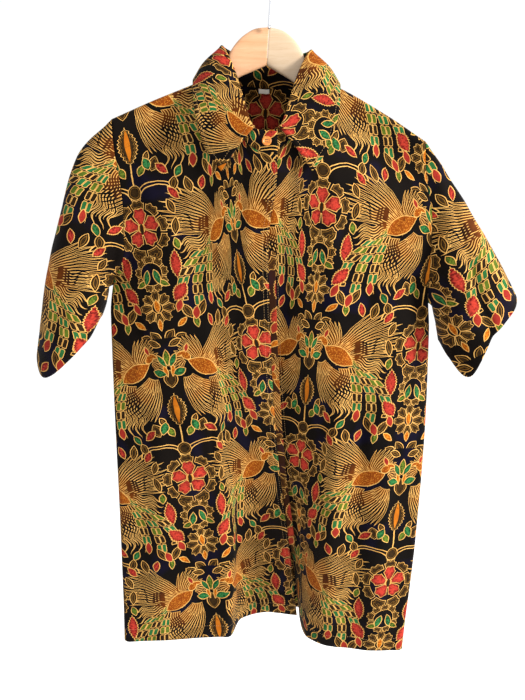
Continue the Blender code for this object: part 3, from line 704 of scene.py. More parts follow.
def fanShape(look, place, a, y, direction, spread, start, reach, curl, feathers):
    local = look.placed(place, (a, y), direction)
    along, across = look.parts(local)
    radius = look.length(local)
    width = math.radians(spread) / feathers
    swept = (across.maths("ARCTAN2", along) + (radius - start) * (curl / reach)) / width + feathers / 2
    number = swept.maths("FLOOR")
    side = abs(swept - number - 0.5)
    middle = number + 0.5 - feathers / 2
    tip = reach * (1.0 - 0.07 * (number % 2.0)) * (1.0 - (0.9 / feathers / feathers) * middle * middle)
    share = (radius / tip).least(1.6)
    taper = 0.46 - 0.46 * share ** 4.0
    pitch = (radius * width).most(3.6)
    inside = (side - taper) * pitch
    ends = (abs(swept - feathers / 2) - feathers / 2) * pitch
    return inside.most(ends).most(start - radius)


def bundleShape(look, place, a, y, direction, half, reach, feathers, wave):
    along, across = look.parts(look.placed(place, (a, y), direction))
    waved = across * (1.0 - 0.006 * along) + wave * (along * (math.tau / 26.0)).maths("SINE")
    pitch = 2.0 * half / feathers
    number = (waved / pitch + feathers / 2).maths("FLOOR")
    side = abs(waved / pitch + feathers / 2 - number - 0.5)
    share = (along / (reach * (1.0 - 0.16 * (number % 2.0)))).most(0.0).least(1.6)
    inside = (side - 0.46 + 0.46 * share * share * share) * pitch
    ends = (abs(waved) - half).most(-along)
    return inside.most(ends)


def plumeShape(look, place):
    across, down = look.parts(look.placed(place, (plumes["a"], plumes["y"])))
    left = 1.0 - (down / plumes["fall"]).clamped()
    grown = 1.0 - left ** plumes["power"]
    between = (grown * plumes["between"]).most(plumes["least"])
    chain = ((across - grown * plumes["first"]) / between + 0.5).maths("FLOOR").most(0.0).least(2.0)
    far = chain * plumes["between"] + plumes["first"]
    slope = far * (plumes["power"] / plumes["fall"]) * left ** (plumes["power"] - 1.0)
    local = (across - grown * plumes["first"] - chain * between) / (slope * slope + 1.0) ** 0.5
    step = (down + far * grown * 0.5) / plumes["link"] + chain * 0.37
    number = step.maths("FLOOR")
    up = (step - number - 0.5) * plumes["link"]
    half = (between * 0.42).least(plumes["halfWidth"])
    lobe = abs(abs(local) - half * 0.5) - half * 0.36
    box = look.length(look.vector((lobe + 1.4).most(0.0), (abs(up) - 4.2).most(0.0))) - 1.8
    short, long, last = plumes["reach"]
    reach = (chain - 1.0).maths("ABSOLUTE") * (short - long) + long + (chain > 1.5) * (last - short)
    ends = (down - reach).most(-down)
    return box.most(ends), (number + chain) % 3.0


def birdShapes(look, place):
    feathers = bundleShape(look, place, *bundles[0])
    for row in bundles[1:]:
        feathers = feathers.least(bundleShape(look, place, *row))
    for row in fans:
        feathers = feathers.least(fanShape(look, place, *row))
    roots = fanShape(look, place, *scales[0]).least(fanShape(look, place, *scales[1]))
    chains, third = plumeShape(look, place)
    torso = leafShape(look, place, *birdForm["torso"])
    head = ovalShape(look, place, *birdForm["head"])
    beak = leafShape(look, place, *birdForm["beak"])
    crest = leafShape(look, place, *birdForm["crest"])
    tips = None
    for row in buds:
        bud = leafShape(look, place, *row, *birdForm["bud"])
        tips = bud if tips is None else tips.least(bud)
    near = look.length(look.placed(place, birdForm["middle"]))
    return dict(feather=feathers, roots=roots, chains=chains, third=third, torso=torso, head=head.least(beak),
                crest=crest.least(tips), near=near)


def batikLook(name):
    look = Look(name)
    flat = look.grain()
    u, w = look.parts(flat)
    u = u * 1000.0 + (look.noise(flat, 38.0, 4.0, 0.6) - 0.5) * 4.4
    w = w * 1000.0 + (look.noise(look.placed(flat, (0.4, 0.7)), 34.0, 4.0, 0.6) - 0.5) * 4.4

    # the gap between two columns, seen from the left one and from the right one
    step = u / batik["column"]
    index = step.maths("FLOOR")
    fromLeft = (step - index) * batik["column"]
    fromRight = batik["column"] - fromLeft
    drop = w + (index % 2.0) * (batik["repeat"] / 2)
    high = batik["repeat"] * 0.36
    leftY = (drop + high) % batik["repeat"] - high
    rightY = (drop + high + batik["repeat"] / 2) % batik["repeat"] - high
    mine = fromLeft < batik["column"] / 2
    a = fromLeft.least(fromRight)
    nearY = leftY * mine + rightY * (1.0 - mine)
    y = (nearY + 40.0) % batik["repeat"] - 40.0
    place = look.vector(a, y)

    shapes = {}

    def add(kind, shapeOf):
        shapes[kind] = shapes[kind].least(shapeOf) if kind in shapes else shapeOf

    # each group waits for the one before it, so that few values are in use at once
    def after(known, across, down):
        return look.vector(across + known * 0.000001, down)

    here = place
    for number, (kind, *rest) in enumerate(leaves):
        add(kind, leafShape(look, here, *rest))
        if number % 5 == 4:
            here = after(shapes[kind], a, y)
    for kind, *rest in ovals:
        add(kind, ovalShape(look, here, *rest))
    here = after(shapes["gold"], a, y)
    for kind, *rest in blooms:
        add(kind, bloomShape(look, here, *rest))
    first = birdShapes(look, after(shapes["red"], fromLeft, leftY))
    second = birdShapes(look, after(first["feather"], fromRight, rightY))
    bird = {key: first[key].least(second[key]) for key in first if key != "third"}
    nearer = first["chains"] < second["chains"]
    third = first["third"] * nearer + second["third"] * (1.0 - nearer)

    # thin drawn lines: the stem, two arching stalks and the spear's flame
    stem = a.most(abs(y - 93.0) - 12.0) - 0.9
    arch = look.length(look.placed(place, (30.0, 122.0), 0.0, (27.0, 17.0))) - 1.0
    stalk = (abs(abs(arch) * 17.0 - 1.8) - 0.5).most(y - 122.0).most(4.0 - a)
    drawn = stem.least(stalk)

    # colours, with the uneven take-up of the dye
    tone = look.noise(look.placed(flat, (0.2, 0.1)), 60.0, 3.0)
    mottle = look.noise(look.placed(flat, (0.6, 0.5)), 420.0, 1.0)
    patch = look.noise(look.placed(flat, (0.8, 0.3)), 22.0, 1.0)
    half = batik["line"]
    navy = ((patch - 0.54) * 9.0).clamped()
    paint = look.mixed(navy, *batik["ground"])
    cream = look.mixed(tone, *batik["cream"])

    def lay(below, edge, fill, outline=half):
        filled = look.mixed(edge < 0.0, below, fill)
        return look.mixed(abs(edge) < outline, filled, cream)

    def shaded(kind):
        inner = (-0.14 * shapes[kind]).clamped()
        return look.mixed((inner + 0.15 + (tone - 0.5) * 1.2 + (mottle - 0.5) * 2.6).clamped(), *batik[kind])

    paint = look.mixed(drawn < 0.0, paint, cream)
    deep = (bird["near"] / 34.0 - 0.30 + (tone - 0.5) * 1.2).clamped()
    for kind in ("feather", "roots"):
        paint = lay(paint, bird[kind], look.mixed(deep, *batik["feather"]), batik["fine"])
    plumeColour = look.mixed(third < 0.5, look.mixed(third < 1.5, look.mixed(tone, *batik["emerald"]),
                                                     look.mixed(tone, *batik["brown"])),
                             look.mixed(tone, *batik["lime"]))
    paint = lay(paint, bird["chains"], plumeColour)
    paint = lay(paint, shapes["brown"], shaded("brown"))
    paint = look.mixed(abs(shapes["brown"] + 2.3) < 0.34, paint, look.mixed(tone, *batik["vein"]))
    flame = leafShape(look, place, *flameForm)
    paint = look.mixed(flame < 0.0, paint, look.mixed(tone, *batik["gold"]))
    for kind in ("gold", "lime", "emerald", "red"):
        paint = lay(paint, shapes[kind], shaded(kind))
    stipple = look.node("ShaderNodeTexVoronoi", dict(feature="F1"), dict(Vector=flat, Scale=640.0))
    spots = look.value(stipple, "Distance") < 0.36
    skin = look.mixed(spots, look.mixed(tone, *batik["body"]), look.mixed(tone, *batik["fleck"]))
    paint = lay(paint, bird["torso"].least(bird["head"]), skin)
    paint = lay(paint, bird["crest"], look.mixed(tone, *batik["red"]))
    seed = ovalShape(look, place, *seedForm)
    paint = look.mixed(seed < 0.0, paint, look.mixed(tone, *batik["brown"]))

    # hair cracks in the wax, wear, and the weave
    cracks = look.node("ShaderNodeTexVoronoi", dict(feature="DISTANCE_TO_EDGE"), dict(
        Vector=flat, Scale=95.0))
    cracked = (look.value(cracks, "Distance") < 0.012) * (tone > 0.5)
    paint = look.mixed(cracked * 0.45, paint, batik["ground"][0])
    worn = look.noise(look.placed(flat, (0.5, 0.9)), 9.0, 2.0)
    paint = look.mixed(worn * 0.03, paint, colour(120, 96, 70))
    thread = batik["weave"] / 1000.0
    fu, fw = look.parts(flat)
    warp = (fu * (math.tau / thread)).maths("SINE")
    weft = (fw * (math.tau / thread)).maths("SINE")
    weave = warp * weft * 0.5 + 0.5
    slub = look.noise(look.placed(flat, (0.0, 0.0), 0.0, (0.02, 1.0)), 300.0, 2.0)
    paint = look.mixed(weave * 0.10, paint, colour(0, 0, 0))
    normal = look.bump(weave + slub * 0.6, 0.00012, 0.55)
    rough = 0.70 + 0.14 * tone + 0.06 * weave
    return look.finish({"Sheen Weight": 0.02, "Sheen Roughness": 0.45, "Sheen Tint": (1.0, 0.95, 0.9, 1.0),
                        "Specular IOR Level": 0.05},
                       {"Base Color": paint, "Roughness": rough, "Normal": normal})


def insideCopy(name, outside):
    look = Look(name, outside.copy())
    base = look.shader.inputs["Base Color"]
    paint = Value(look, base.links[0].from_socket)
    look.put(base, look.mixed(0.22, paint, colour(84, 46, 22)))
    return look.material


fabric = dict(
    wall=0.0008,
    hem=0.020,           # hems and seams are doubled
    seamBand=0.008,
    facing=0.030,
    relief=1.25,
    ripple=0.0012,       # slight unevenness of hanging cloth
    ripples=((1.0, (26.0, 8.0, 9.0), 0.0), (0.4, (70.0, 30.0, 34.0), 5.0)),
)
made = {}


def spread(low, high, count):
    count = count
    return [mix(low, high, i / count) for i in range(count + 1)]


# rows and columns of the body's cloth; the top rows, which lie closer, begin at a drop below the shoulder
bodyGrid = dict(height=0.70, low=0.90, rows=205, drop=0.070, topRows=34, power=1.8,
                neck=34, chest=36, turn=5, backNeck=20, backChest=44)


def bodyRows():
    low = spread(0.0, bodyGrid["low"], bodyGrid["rows"])
    count = bodyGrid["topRows"]
    drops = [bodyGrid["drop"] * (1.0 - i / count) ** bodyGrid["power"] for i in range(1, count + 1)]
    return [v for v in low if v < bodyGrid["low"] - 0.001] + [1.0 - drop / bodyGrid["height"] for drop in drops]


def frontColumns():
    neck = spread(0.0, shape["frontNeck"], bodyGrid["neck"])
    chest = spread(shape["frontNeck"], shape["turnStart"], bodyGrid["chest"])[1:]
    return neck + chest + spread(shape["turnStart"], 1.0, bodyGrid["turn"])[1:]


def backColumns():
    half = spread(0.0, shape["backNeck"], bodyGrid["backNeck"])
    half += spread(shape["backNeck"], shape["turnStart"], bodyGrid["backChest"])[1:]
    half += spread(shape["turnStart"], 1.0, bodyGrid["turn"])[1:]
    return [-p for p in reversed(half[1:])] + half


def creaseHeight(creases, x, z):
    total = 0.0
    for row in creases:
        alongX, alongZ = row["to"][0] - row["start"][0], row["to"][1] - row["start"][1]
        length = math.hypot(alongX, alongZ)
        alongX, alongZ = alongX / length, alongZ / length
        offX, offZ = x - row["start"][0], z - row["start"][1]
        t = (offX * alongX + offZ * alongZ) / length
        if -0.15 < t < 1.15:
            off = (offX * -alongZ + offZ * alongX) + row.get("bow", 0.0) * (4 * t * (1 - t))
            width = row["width"] * (0.6 + 0.8 * t if row.get("opens") else 1.0)
            if abs(off) < 3 * width:
                fade = ease((t + 0.15) / 0.35) * ease((1.15 - t) / 0.35)
                total += row["height"] * fabric["relief"] * fade * math.exp(-(off / width) ** 2)
    return total


def normalsOf(points):
    across = numpy.gradient(points, axis=0)
    up = numpy.gradient(points, axis=1)
    crossed = numpy.cross(across, up)
    lengths = numpy.linalg.norm(crossed, axis=2, keepdims=True)
    return crossed / numpy.maximum(lengths, 1e-12)


def arcs(points, axis):
    steps = numpy.linalg.norm(numpy.diff(points, axis=axis), axis=2)
    total = numpy.cumsum(steps, axis=axis)
    return numpy.insert(total, 0, 0.0, axis=axis)


def meshPiece(name, form, look, crease=None):
    mesh = bpy.data.meshes.new(name)
    form.to_mesh(mesh)
    form.free()
    if crease:
        mesh.set_sharp_from_angle(angle=math.radians(crease))
    mesh.materials.append(look)
    piece = bpy.data.objects.new(name, mesh)
    bpy.context.collection.objects.link(piece)
    return piece


def soften(form):
    for face in form.faces:
        face.smooth = True


def sheetPiece(name, points, look, grain, wall, hems, closed=False):
    columns, rows = points.shape[0] - 1, points.shape[1] - 1
    form = bmesh.new()
    bmesh.ops.create_grid(form, x_segments=columns, y_segments=rows, size=0.5)
    layer = form.loops.layers.uv.new("grain")
    weights = form.verts.layers.deform.new()
    place = {}
    for vert in form.verts:
        c = min(columns, max(0, round((vert.co.x + 0.5) * columns)))
        r = min(rows, max(0, round((vert.co.y + 0.5) * rows)))
        place[vert] = (c, r)
    for vert, (c, r) in place.items():
        vert.co = points[c, r]
        vert[weights][0] = float(hems[c, r])
    for face in form.faces:
        face.smooth = True
        for loop in face.loops:
            c, r = place[loop.vert]
            loop[layer].uv = grain[c, r]
    if closed:
        bmesh.ops.remove_doubles(form, verts=form.verts, dist=0.00002)
    piece = meshPiece(name + "_cloth", form, look)
    piece.vertex_groups.new(name="doubled")
    solid = piece.modifiers.new("wall", "SOLIDIFY")
    solid.thickness = wall * 2.0
    solid.offset = 0.0
    solid.vertex_group = "doubled"
    solid.thickness_vertex_group = 0.5
    solid.use_rim = True
    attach(piece, "root")
    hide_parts(name)
    made[name] = dict(points=points, grain=grain, piece=piece)
    return piece


def sampled(place, columns, rows):
    return numpy.array([[place(c, r) for r in rows] for c in columns], dtype=float)


def outward(points, normals, middle):
    out = points - numpy.array(middle)
    out[:, :, 2] = 0.0
    return normals * (1.0 if (normals * out).sum() > 0 else -1.0)


def rippled(points, normals, creases, calm):
    moved = points.copy()
    for c in range(points.shape[0]):
        for r in range(points.shape[1]):
            x, y, z = points[c, r]
            lift = creaseHeight(creases, x, z)
            for share, (sizeX, sizeY, sizeZ), shift in fabric["ripples"]:
                lift += share * fabric["ripple"] * noise.noise((x * sizeX, y * sizeY, z * sizeZ + shift))
            moved[c, r] += normals[c, r] * lift * calm[c, r]
    return moved


def bands(points, sides):
    rowsDown, columnsAcross = arcs(points, 1), arcs(points, 0)
    reach = numpy.full(points.shape[:2], 1.0)
    for side, width in sides.items():
        distance = dict(
            bottom=rowsDown, top=rowsDown[:, -1:] - rowsDown,
            start=columnsAcross, end=columnsAcross[-1:, :] - columnsAcross)[side]
        reach = numpy.minimum(reach, distance / width)
    return reach


# folds and creases: start and end as x and z, width and height
rightCreases = tabled("start to width height bow opens", (
    ((-0.060, -0.66), (-0.064, -0.90), 0.0070, 0.0050),
    ((-0.083, -0.50), (-0.078, -0.68), 0.0040, -0.0030),
    ((-0.092, -0.62), (-0.096, -0.88), 0.0120, -0.0045, 0.0, True),
    ((-0.150, -0.55), (-0.158, -0.89), 0.0160, 0.0042, 0.0, True),
    ((-0.175, -0.40), (-0.120, -0.62), 0.0110, -0.0034, 0.008),
    ((-0.165, -0.25), (-0.110, -0.40), 0.0130, 0.0030, -0.006),
    ((-0.185, -0.38), (-0.150, -0.46), 0.0060, 0.0028),
    ((-0.080, -0.24), (-0.100, -0.42), 0.0120, -0.0026),
    ((-0.028, -0.30), (-0.040, -0.55), 0.0100, 0.0020),
    ((-0.125, -0.70), (-0.118, -0.84), 0.0050, -0.0018),
))
leftCreases = tabled("start to width height bow opens", (
    ((0.085, -0.50), (0.078, -0.90), 0.0130, 0.0040, 0.0, True),
    ((0.118, -0.55), (0.112, -0.91), 0.0120, -0.0044, 0.0, True),
    ((0.150, -0.60), (0.146, -0.91), 0.0140, 0.0040, 0.0, True),
    ((0.178, -0.42), (0.120, -0.62), 0.0120, 0.0034, -0.008),
    ((0.165, -0.28), (0.115, -0.43), 0.0130, -0.0030, 0.006),
    ((0.190, -0.43), (0.160, -0.50), 0.0060, -0.0028),
    ((0.070, -0.26), (0.078, -0.45), 0.0110, 0.0024),
    ((0.100, -0.44), (0.104, -0.58), 0.0050, -0.0016),
))
backCreases = tabled("start to width height bow opens", (
    ((-0.150, -0.26), (-0.090, -0.48), 0.0140, -0.0040, 0.008),
    ((0.140, -0.28), (0.080, -0.50), 0.0140, -0.0040, -0.008),
    ((-0.100, -0.50), (-0.108, -0.90), 0.0200, 0.0055, 0.0, True),
    ((-0.030, -0.44), (-0.040, -0.90), 0.0180, -0.0042, 0.0, True),
    ((0.045, -0.52), (0.052, -0.91), 0.0200, 0.0050, 0.0, True),
    ((0.115, -0.48), (0.128, -0.91), 0.0160, -0.0040, 0.0, True),
    ((-0.150, -0.55), (-0.162, -0.89), 0.0130, -0.0036, 0.0, True),
    ((-0.010, -0.20), (-0.014, -0.36), 0.0160, -0.0030),
))
rightSleeveCreases = tabled("start to width height", (
    ((-0.215, -0.24), (-0.275, -0.46), 0.0120, -0.0032),
    ((-0.200, -0.30), (-0.240, -0.45), 0.0110, 0.0030),
    ((-0.192, -0.345), (-0.222, -0.40), 0.0060, -0.0030),
))
leftSleeveCreases = tabled("start to width height", (
    ((0.215, -0.27), (0.272, -0.47), 0.0080, -0.0046),
    ((0.235, -0.27), (0.294, -0.42), 0.0110, 0.0034),
    ((0.200, -0.33), (0.236, -0.45), 0.0100, 0.0030),
))

# where the columns of the print fall: x of one axis at a height, its lean, and a star's height
grainLines = dict(
    front_right=dict(x=-0.163, z=-0.296, lean=0.145, star=-0.500),
    front_left=dict(x=0.196, z=-0.3185, lean=-0.0744, star=-0.3185),
    back=dict(x=-0.010, z=-0.300, lean=0.0, star=-0.360),
)


def bodyGrain(name, points):
    line = grainLines[name]
    across = arcs(points, 0)
    turn = math.atan(line["lean"])
    grain = numpy.zeros(points.shape[:2] + (2,))
    flip = 1.0 if points[-1, 0, 0] > points[0, 0, 0] else -1.0
    for r in range(points.shape[1]):
        xs = points[:, r, 0] * flip
        middle = points[points.shape[0] // 2, r, 2]
        reference = (line["x"] + line["lean"] * (line["z"] - middle)) * flip
        here = numpy.interp(reference, xs, across[:, r])
        off = (across[:, r] - here) * flip
        grain[:, r, 0] = off
        grain[:, r, 1] = (line["star"] - points[:, r, 2]) / math.cos(turn) + math.sin(turn) * off
    return grain


def bodyPiece(name, place, columns, creases, middle, look):
    points = sampled(place, columns, bodyRows())
    normals = outward(points, normalsOf(points), middle)
    calmBands = dict(top=0.05, start=0.03 if name == "back" else 0.012, end=0.03)
    calm = numpy.clip(bands(points, calmBands), 0.0, 1.0)
    grain = bodyGrain(name, points)
    moved = rippled(points, normals, creases, calm)
    edges = dict(bottom=fabric["hem"], top=fabric["seamBand"], end=fabric["seamBand"])
    edges["start"] = fabric["facing"] if name == "front_right" else fabric["seamBand"]
    hems = numpy.where(bands(points, edges) < 1.0, 1.0, 0.0)
    return sheetPiece(name, moved, look, grain, fabric["wall"], hems)


def makeBody(look):
    for name, hand, creases in (("front_right", -1.0, rightCreases), ("front_left", 1.0, leftCreases)):
        piece = bodyPiece(name, lambda p, v, hand=hand: frontPoint(hand, p, v), frontColumns(),
                          creases, (0.0, 0.08, 0.0), look)
        declare(name, ["hanger_wood_right" if hand < 0 else "hanger_wood_left"])
    piece = bodyPiece("back", backPoint, backColumns(), backCreases, (0.0, -0.06, 0.0), look)
    declare("back", ["hanger_wood_right", "hanger_wood_left"])


flatSizes = {}


def declare(name, rests):
    points = made[name]["points"]
    across, down = arcs(points, 0), arcs(points, 1)
    width, length = float(across[-1].max()), float(down[:, -1].max())
    first = points[1:, :-1] - points[:-1, :-1]
    second = points[:-1, 1:] - points[:-1, :-1]
    area = float(numpy.linalg.norm(numpy.cross(first, second), axis=2).sum())
    flatSizes[name] = (round(width, 3), round(length, 3), round(area, 4))


sleeves = dict(around=132, rows=64, star=0.10, shift=0.062)


def sleeveGrain(points, fold):
    first, last = points[fold, 4], points[fold, -1]
    way = numpy.array([last[0] - first[0], last[2] - first[2]])
    length = math.hypot(*way)
    way = way / length
    off = points[:, :, (0, 2)] - numpy.array([first[0], first[2]])
    along = off @ way
    aside = off @ numpy.array([way[1], -way[0]])
    aside *= math.copysign(1.0, aside[0, -1])
    aside[:fold] *= -1.0
    return numpy.stack([aside + sleeves["shift"], along - length + sleeves["star"]], axis=2)


def makeSleeves(look):
    for name, hand, creases in (("sleeve_right", -1.0, rightSleeveCreases),
                                ("sleeve_left", 1.0, leftSleeveCreases)):
        around = sleeves["around"] // 1
        angles = [math.pi + math.tau * (c % around) / around for c in range(around + 1)]
        points = sampled(lambda angle, t, hand=hand: sleevePoint(hand, angle, t),
                         angles, spread(0.0, 1.0, sleeves["rows"]))
        normals = outward(points, normalsOf(points), (hand * 0.235, -0.015, 0.0))
        calm = numpy.clip(bands(points, dict(bottom=0.022)), 0.0, 1.0)
        moved = rippled(points, normals, creases, calm)
        moved[-1] = moved[0]
        grain = sleeveGrain(points, around // 2)
        hems = numpy.where(bands(points, dict(bottom=fabric["seamBand"], top=fabric["hem"])) < 1.0, 1.0, 0.0)
        piece = sheetPiece(name, moved, look, grain, fabric["wall"], hems, closed=True)
        declare(name, ["front_right_cloth" if hand < 0 else "front_left_cloth", "back_cloth"])


collar = dict(columns=130, standRows=10, leafRows=30, wall=0.0012, star=0.012, shift=0.050)


def makeCollar(look):
    ends = spread(0.0, 1.0, collar["columns"] // 2)
    columns = [-s for s in reversed(ends[1:])] + ends
    points = sampled(standPoint, columns, spread(0.0, 1.0, collar["standRows"]))
    across, up = arcs(points, 0), arcs(points, 1)
    grain = numpy.stack([across - across[len(columns) // 2] + collar["shift"], 0.11 - up], axis=2)
    piece = sheetPiece("collar_stand", points, look, grain, collar["wall"], numpy.ones(points.shape[:2]))
    declare("collar_stand", ["back_cloth", "front_right_cloth", "front_left_cloth"])
    ends = spread(0.0, shape["leafEnd"], collar["columns"] // 2)
    columns = [-s for s in reversed(ends[1:])] + ends
    steps = spread(0.0, 0.26, 12) + spread(0.26, 1.0, collar["leafRows"] - 12)[1:]
    points = sampled(leafPoint, columns, steps)
    across, down = arcs(points, 0), arcs(points, 1)
    middle = across[len(columns) // 2]
    grain = numpy.stack([across - middle + collar["shift"], down - collar["star"]], axis=2)
    hems = numpy.ones(points.shape[:2])
    piece = sheetPiece("collar_leaf", points, look, grain, collar["wall"], hems)
    declare("collar_leaf", ["collar_stand_cloth"])


fly = dict(reach=0.009, inside=0.10, top=0.83, bottom=0.19, rows=170, columns=12, wall=0.0008, behind=0.0016)


def makeFly(look):
    def place(c, r):
        v = mix(fly["bottom"], fly["top"], r)
        edge = frontPoint(-1.0, 0.0, v)
        inner = frontPoint(-1.0, fly["inside"], v)
        out = (edge - inner).normalized()
        step = edge + out * fly["reach"] * c if c > 0 else frontPoint(-1.0, -c * fly["inside"], v)
        back = Vector((-out.y, out.x, 0.0)).normalized()
        return step + (back if back.y > 0 else -back) * fly["behind"]

    points = sampled(place, spread(-1.0, 1.0, fly["columns"]), spread(0.0, 1.0, fly["rows"]))
    across, up = arcs(points, 0), arcs(points, 1)
    grain = numpy.stack([across, 0.6 - up], axis=2)
    piece = sheetPiece("placket_fly", points, look, grain, fly["wall"], numpy.ones(points.shape[:2]) * 0.5)
    declare("placket_fly", ["front_right_cloth"])


stitch = dict(length=0.0024, gap=0.0009, width=0.00044, height=0.00034, lift=0.95,
              edge=0.0020, second=0.0070, hem=0.0185, facing=0.0300, shoulder=0.0035, leaf=0.0055)


def surfaceAt(name, c, r):
    points = made[name]["points"]
    c = min(max(c, 0.0), points.shape[0] - 1.001)
    r = min(max(r, 0.0), points.shape[1] - 1.001)
    i, j = int(c), int(r)
    f, g = c - i, r - j
    spot = (points[i, j] * (1 - f) * (1 - g) + points[i + 1, j] * f * (1 - g)
            + points[i, j + 1] * (1 - f) * g + points[i + 1, j + 1] * f * g)
    normal = numpy.cross(points[i + 1, j] - points[i, j], points[i, j + 1] - points[i, j])
    return Vector(spot), Vector(normal).normalized()


def insetPath(name, side, inset, low=0.0, high=1.0, steps=400):
    points = made[name]["points"]
    columns, rows = points.shape[0] - 1, points.shape[1] - 1
    path = []
    axis = 1 if side in ("bottom", "top") else 0
    lengths = arcs(points, axis)
    for k in range(steps + 1):
        t = mix(low, high, k / steps)
        if axis == 1:
            c = t * columns
            i = min(int(c), columns - 1)
            line = lengths[i] * (1 - (c - i)) + lengths[i + 1] * (c - i)
            at = inset if side == "bottom" else line[-1] - inset
            path.append((c, float(numpy.interp(at, line, numpy.arange(rows + 1)))))
        else:
            r = t * rows
            j = min(int(r), rows - 1)
            line = lengths[:, j] * (1 - (r - j)) + lengths[:, j + 1] * (r - j)
            at = inset if side == "start" else line[-1] - inset
            path.append((float(numpy.interp(at, line, numpy.arange(columns + 1))), r))
    return path


def addStitches(form, name, path, toward, lift):
    spots = [surfaceAt(name, c, r) for c, r in path]
    travelled, due = 0.0, 0.0
    for (spot, normal), (later, _) in zip(spots, spots[1:]):
        step = (later - spot).length
        while step > 1e-9 and due <= travelled + step:
            here = spot.lerp(later, (due - travelled) / step)
            out = normal if normal.dot(Vector(toward)) > 0 else -normal
            along = (later - spot).normalized()
            side = out.cross(along).normalized()
            turn = Matrix((along, side, out)).transposed().to_4x4()
            size = Matrix.Diagonal((stitch["length"] / 2, stitch["width"] / 2, stitch["height"] / 2, 1.0))
            at = Matrix.Translation(here + out * lift)
            bmesh.ops.create_icosphere(form, subdivisions=1, radius=1.0, matrix=at @ turn @ size)
            due += stitch["length"] + stitch["gap"]
        travelled += step


def stitchPiece(name, lines, look):
    form = bmesh.new()
    for line in lines:
        addStitches(form, *line)
    soften(form)
    piece = meshPiece(name, form, look)
    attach(piece, "root")


def makeStitches(look):
    front, back = (0.0, -1.0, 0.0), (0.0, 1.0, 0.0)
    lift = fabric["wall"] * stitch["lift"]
    edge = insetPath("front_right", "start", stitch["edge"], 0.02, 0.995, 800)
    second = insetPath("front_right", "start", stitch["second"], 0.16, 0.995, 800)
    stitchPiece("stitches_front_right", [
        ("front_right", edge, front, lift),
        ("front_right", second, front, lift),
        ("front_right", insetPath("front_right", "bottom", stitch["hem"]), front, lift),
        ("front_right", insetPath("front_right", "top", stitch["shoulder"], 0.45, 1.0), front, lift),
    ], look)
    stitchPiece("stitches_front_left", [
        ("front_left", insetPath("front_left", "bottom", stitch["hem"]), front, lift),
        ("front_left", insetPath("front_left", "start", stitch["facing"], 0.02, 0.75, 800), front, lift),
        ("front_left", insetPath("front_left", "top", stitch["shoulder"], 0.45, 1.0), front, lift),
    ], look)
    stitchPiece("stitches_back", [
        ("back", insetPath("back", "bottom", stitch["hem"], steps=700), back, lift),
    ], look)
    for name in ("sleeve_right", "sleeve_left"):
        stitchPiece("stitches_" + name, [
            (name, insetPath(name, "top", stitch["hem"], low, high, 300), toward, lift)
            for low, high, toward in ((0.0, 0.5, front), (0.5, 1.0, back))
        ], look)
    leafLift = collar["wall"] * stitch["lift"]
    stitchPiece("stitches_collar", [
        ("collar_leaf", insetPath("collar_leaf", side, stitch["leaf"], low, high, steps), toward, leafLift)
        for side, low, high, steps, toward in (
            ("top", 0.015, 0.485, 400, (0.4, -1.0, 0.3)),
            ("top", 0.515, 0.985, 400, (-0.4, -1.0, 0.3)),
            ("start", 0.30, 0.93, 160, front),
            ("end", 0.30, 0.93, 160, front),
        )
    ], look)


button = dict(radius=0.0055, thick=0.0026, edge=0.0006, dish=0.0038, sink=0.0006, hole=0.00055, apart=0.0013,
              tilt=82, height=0.56, clear=0.0016)


def makeButton(look, threadLook):
    form = bmesh.new()
    bmesh.ops.create_cone(form, cap_ends=True, segments=48, radius1=button["radius"],
                          radius2=button["radius"], depth=button["thick"])
    face = max(form.faces, key=lambda one: one.calc_center_median().z)
    bmesh.ops.inset_region(form, faces=[face], thickness=button["radius"] - button["dish"])
    bmesh.ops.inset_region(form, faces=[face], thickness=0.0006, depth=-button["sink"])
    rims = [e for e in form.edges if len(e.link_faces) == 2 and e.calc_face_angle() > 0.5
            and abs(e.verts[0].co.z - e.verts[1].co.z) < 1e-6]
    bmesh.ops.bevel(form, geom=rims, offset=button["edge"] * 0.7, segments=3, profile=0.5,
                    affect="EDGES", material=-1)
    deep = [(sx * button["apart"], sy * button["apart"]) for sx in (-1, 1) for sy in (-1, 1)]
    soften(form)
    tilt = Matrix.Rotation(math.radians(button["tilt"]), 4, "X")
    at = standPoint(1.0, button["height"])
    spot = Vector((shape["neckX"], at.y - button["clear"] - button["thick"] / 2, at.z))
    put = Matrix.Translation(spot) @ tilt
    bmesh.ops.transform(form, matrix=put, verts=form.verts)
    piece = meshPiece("button", form, look, crease=50)
    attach(piece, "root")
    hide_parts("neck_button")
    form = bmesh.new()
    top = button["thick"] / 2 - button["sink"]
    for x, y in deep:
        bmesh.ops.create_cone(form, cap_ends=True, segments=16, radius1=button["hole"], radius2=button["hole"],
                              depth=0.0003, matrix=put @ Matrix.Translation((x, y, top)))
    for y in (-button["apart"], button["apart"]):
        size = Matrix.Diagonal((button["apart"] + 0.0004, 0.00035, 0.00045, 1.0))
        bmesh.ops.create_icosphere(form, subdivisions=2, radius=1.0,
                                   matrix=put @ Matrix.Translation((0.0, y, top + 0.0002)) @ size)
    piece = meshPiece("button_thread", form, threadLook)
    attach(piece, "root")


tab = dict(width=0.0135, height=0.0050, wall=0.0005, middle=-0.0120, neckHalf=0.060, top=0.9975, before=0.0014)


def makeTab(look):
    def place(c, r):
        x = tab["middle"] + tab["width"] * c
        u = (x - shape["neckX"]) / tab["neckHalf"] * shape["backNeck"]
        behind = backPoint(u, tab["top"] - r * tab["height"] / bodyGrid["height"])
        return Vector((x, behind.y - tab["before"], behind.z))

    points = sampled(place, spread(-0.5, 0.5, 16), spread(0.0, 1.0, 8))
    across, up = arcs(points, 0), arcs(points, 1)
    grain = numpy.stack([across, up], axis=2)
    piece = sheetPiece("neck_tab", points, look, grain, tab["wall"], numpy.ones(points.shape[:2]))


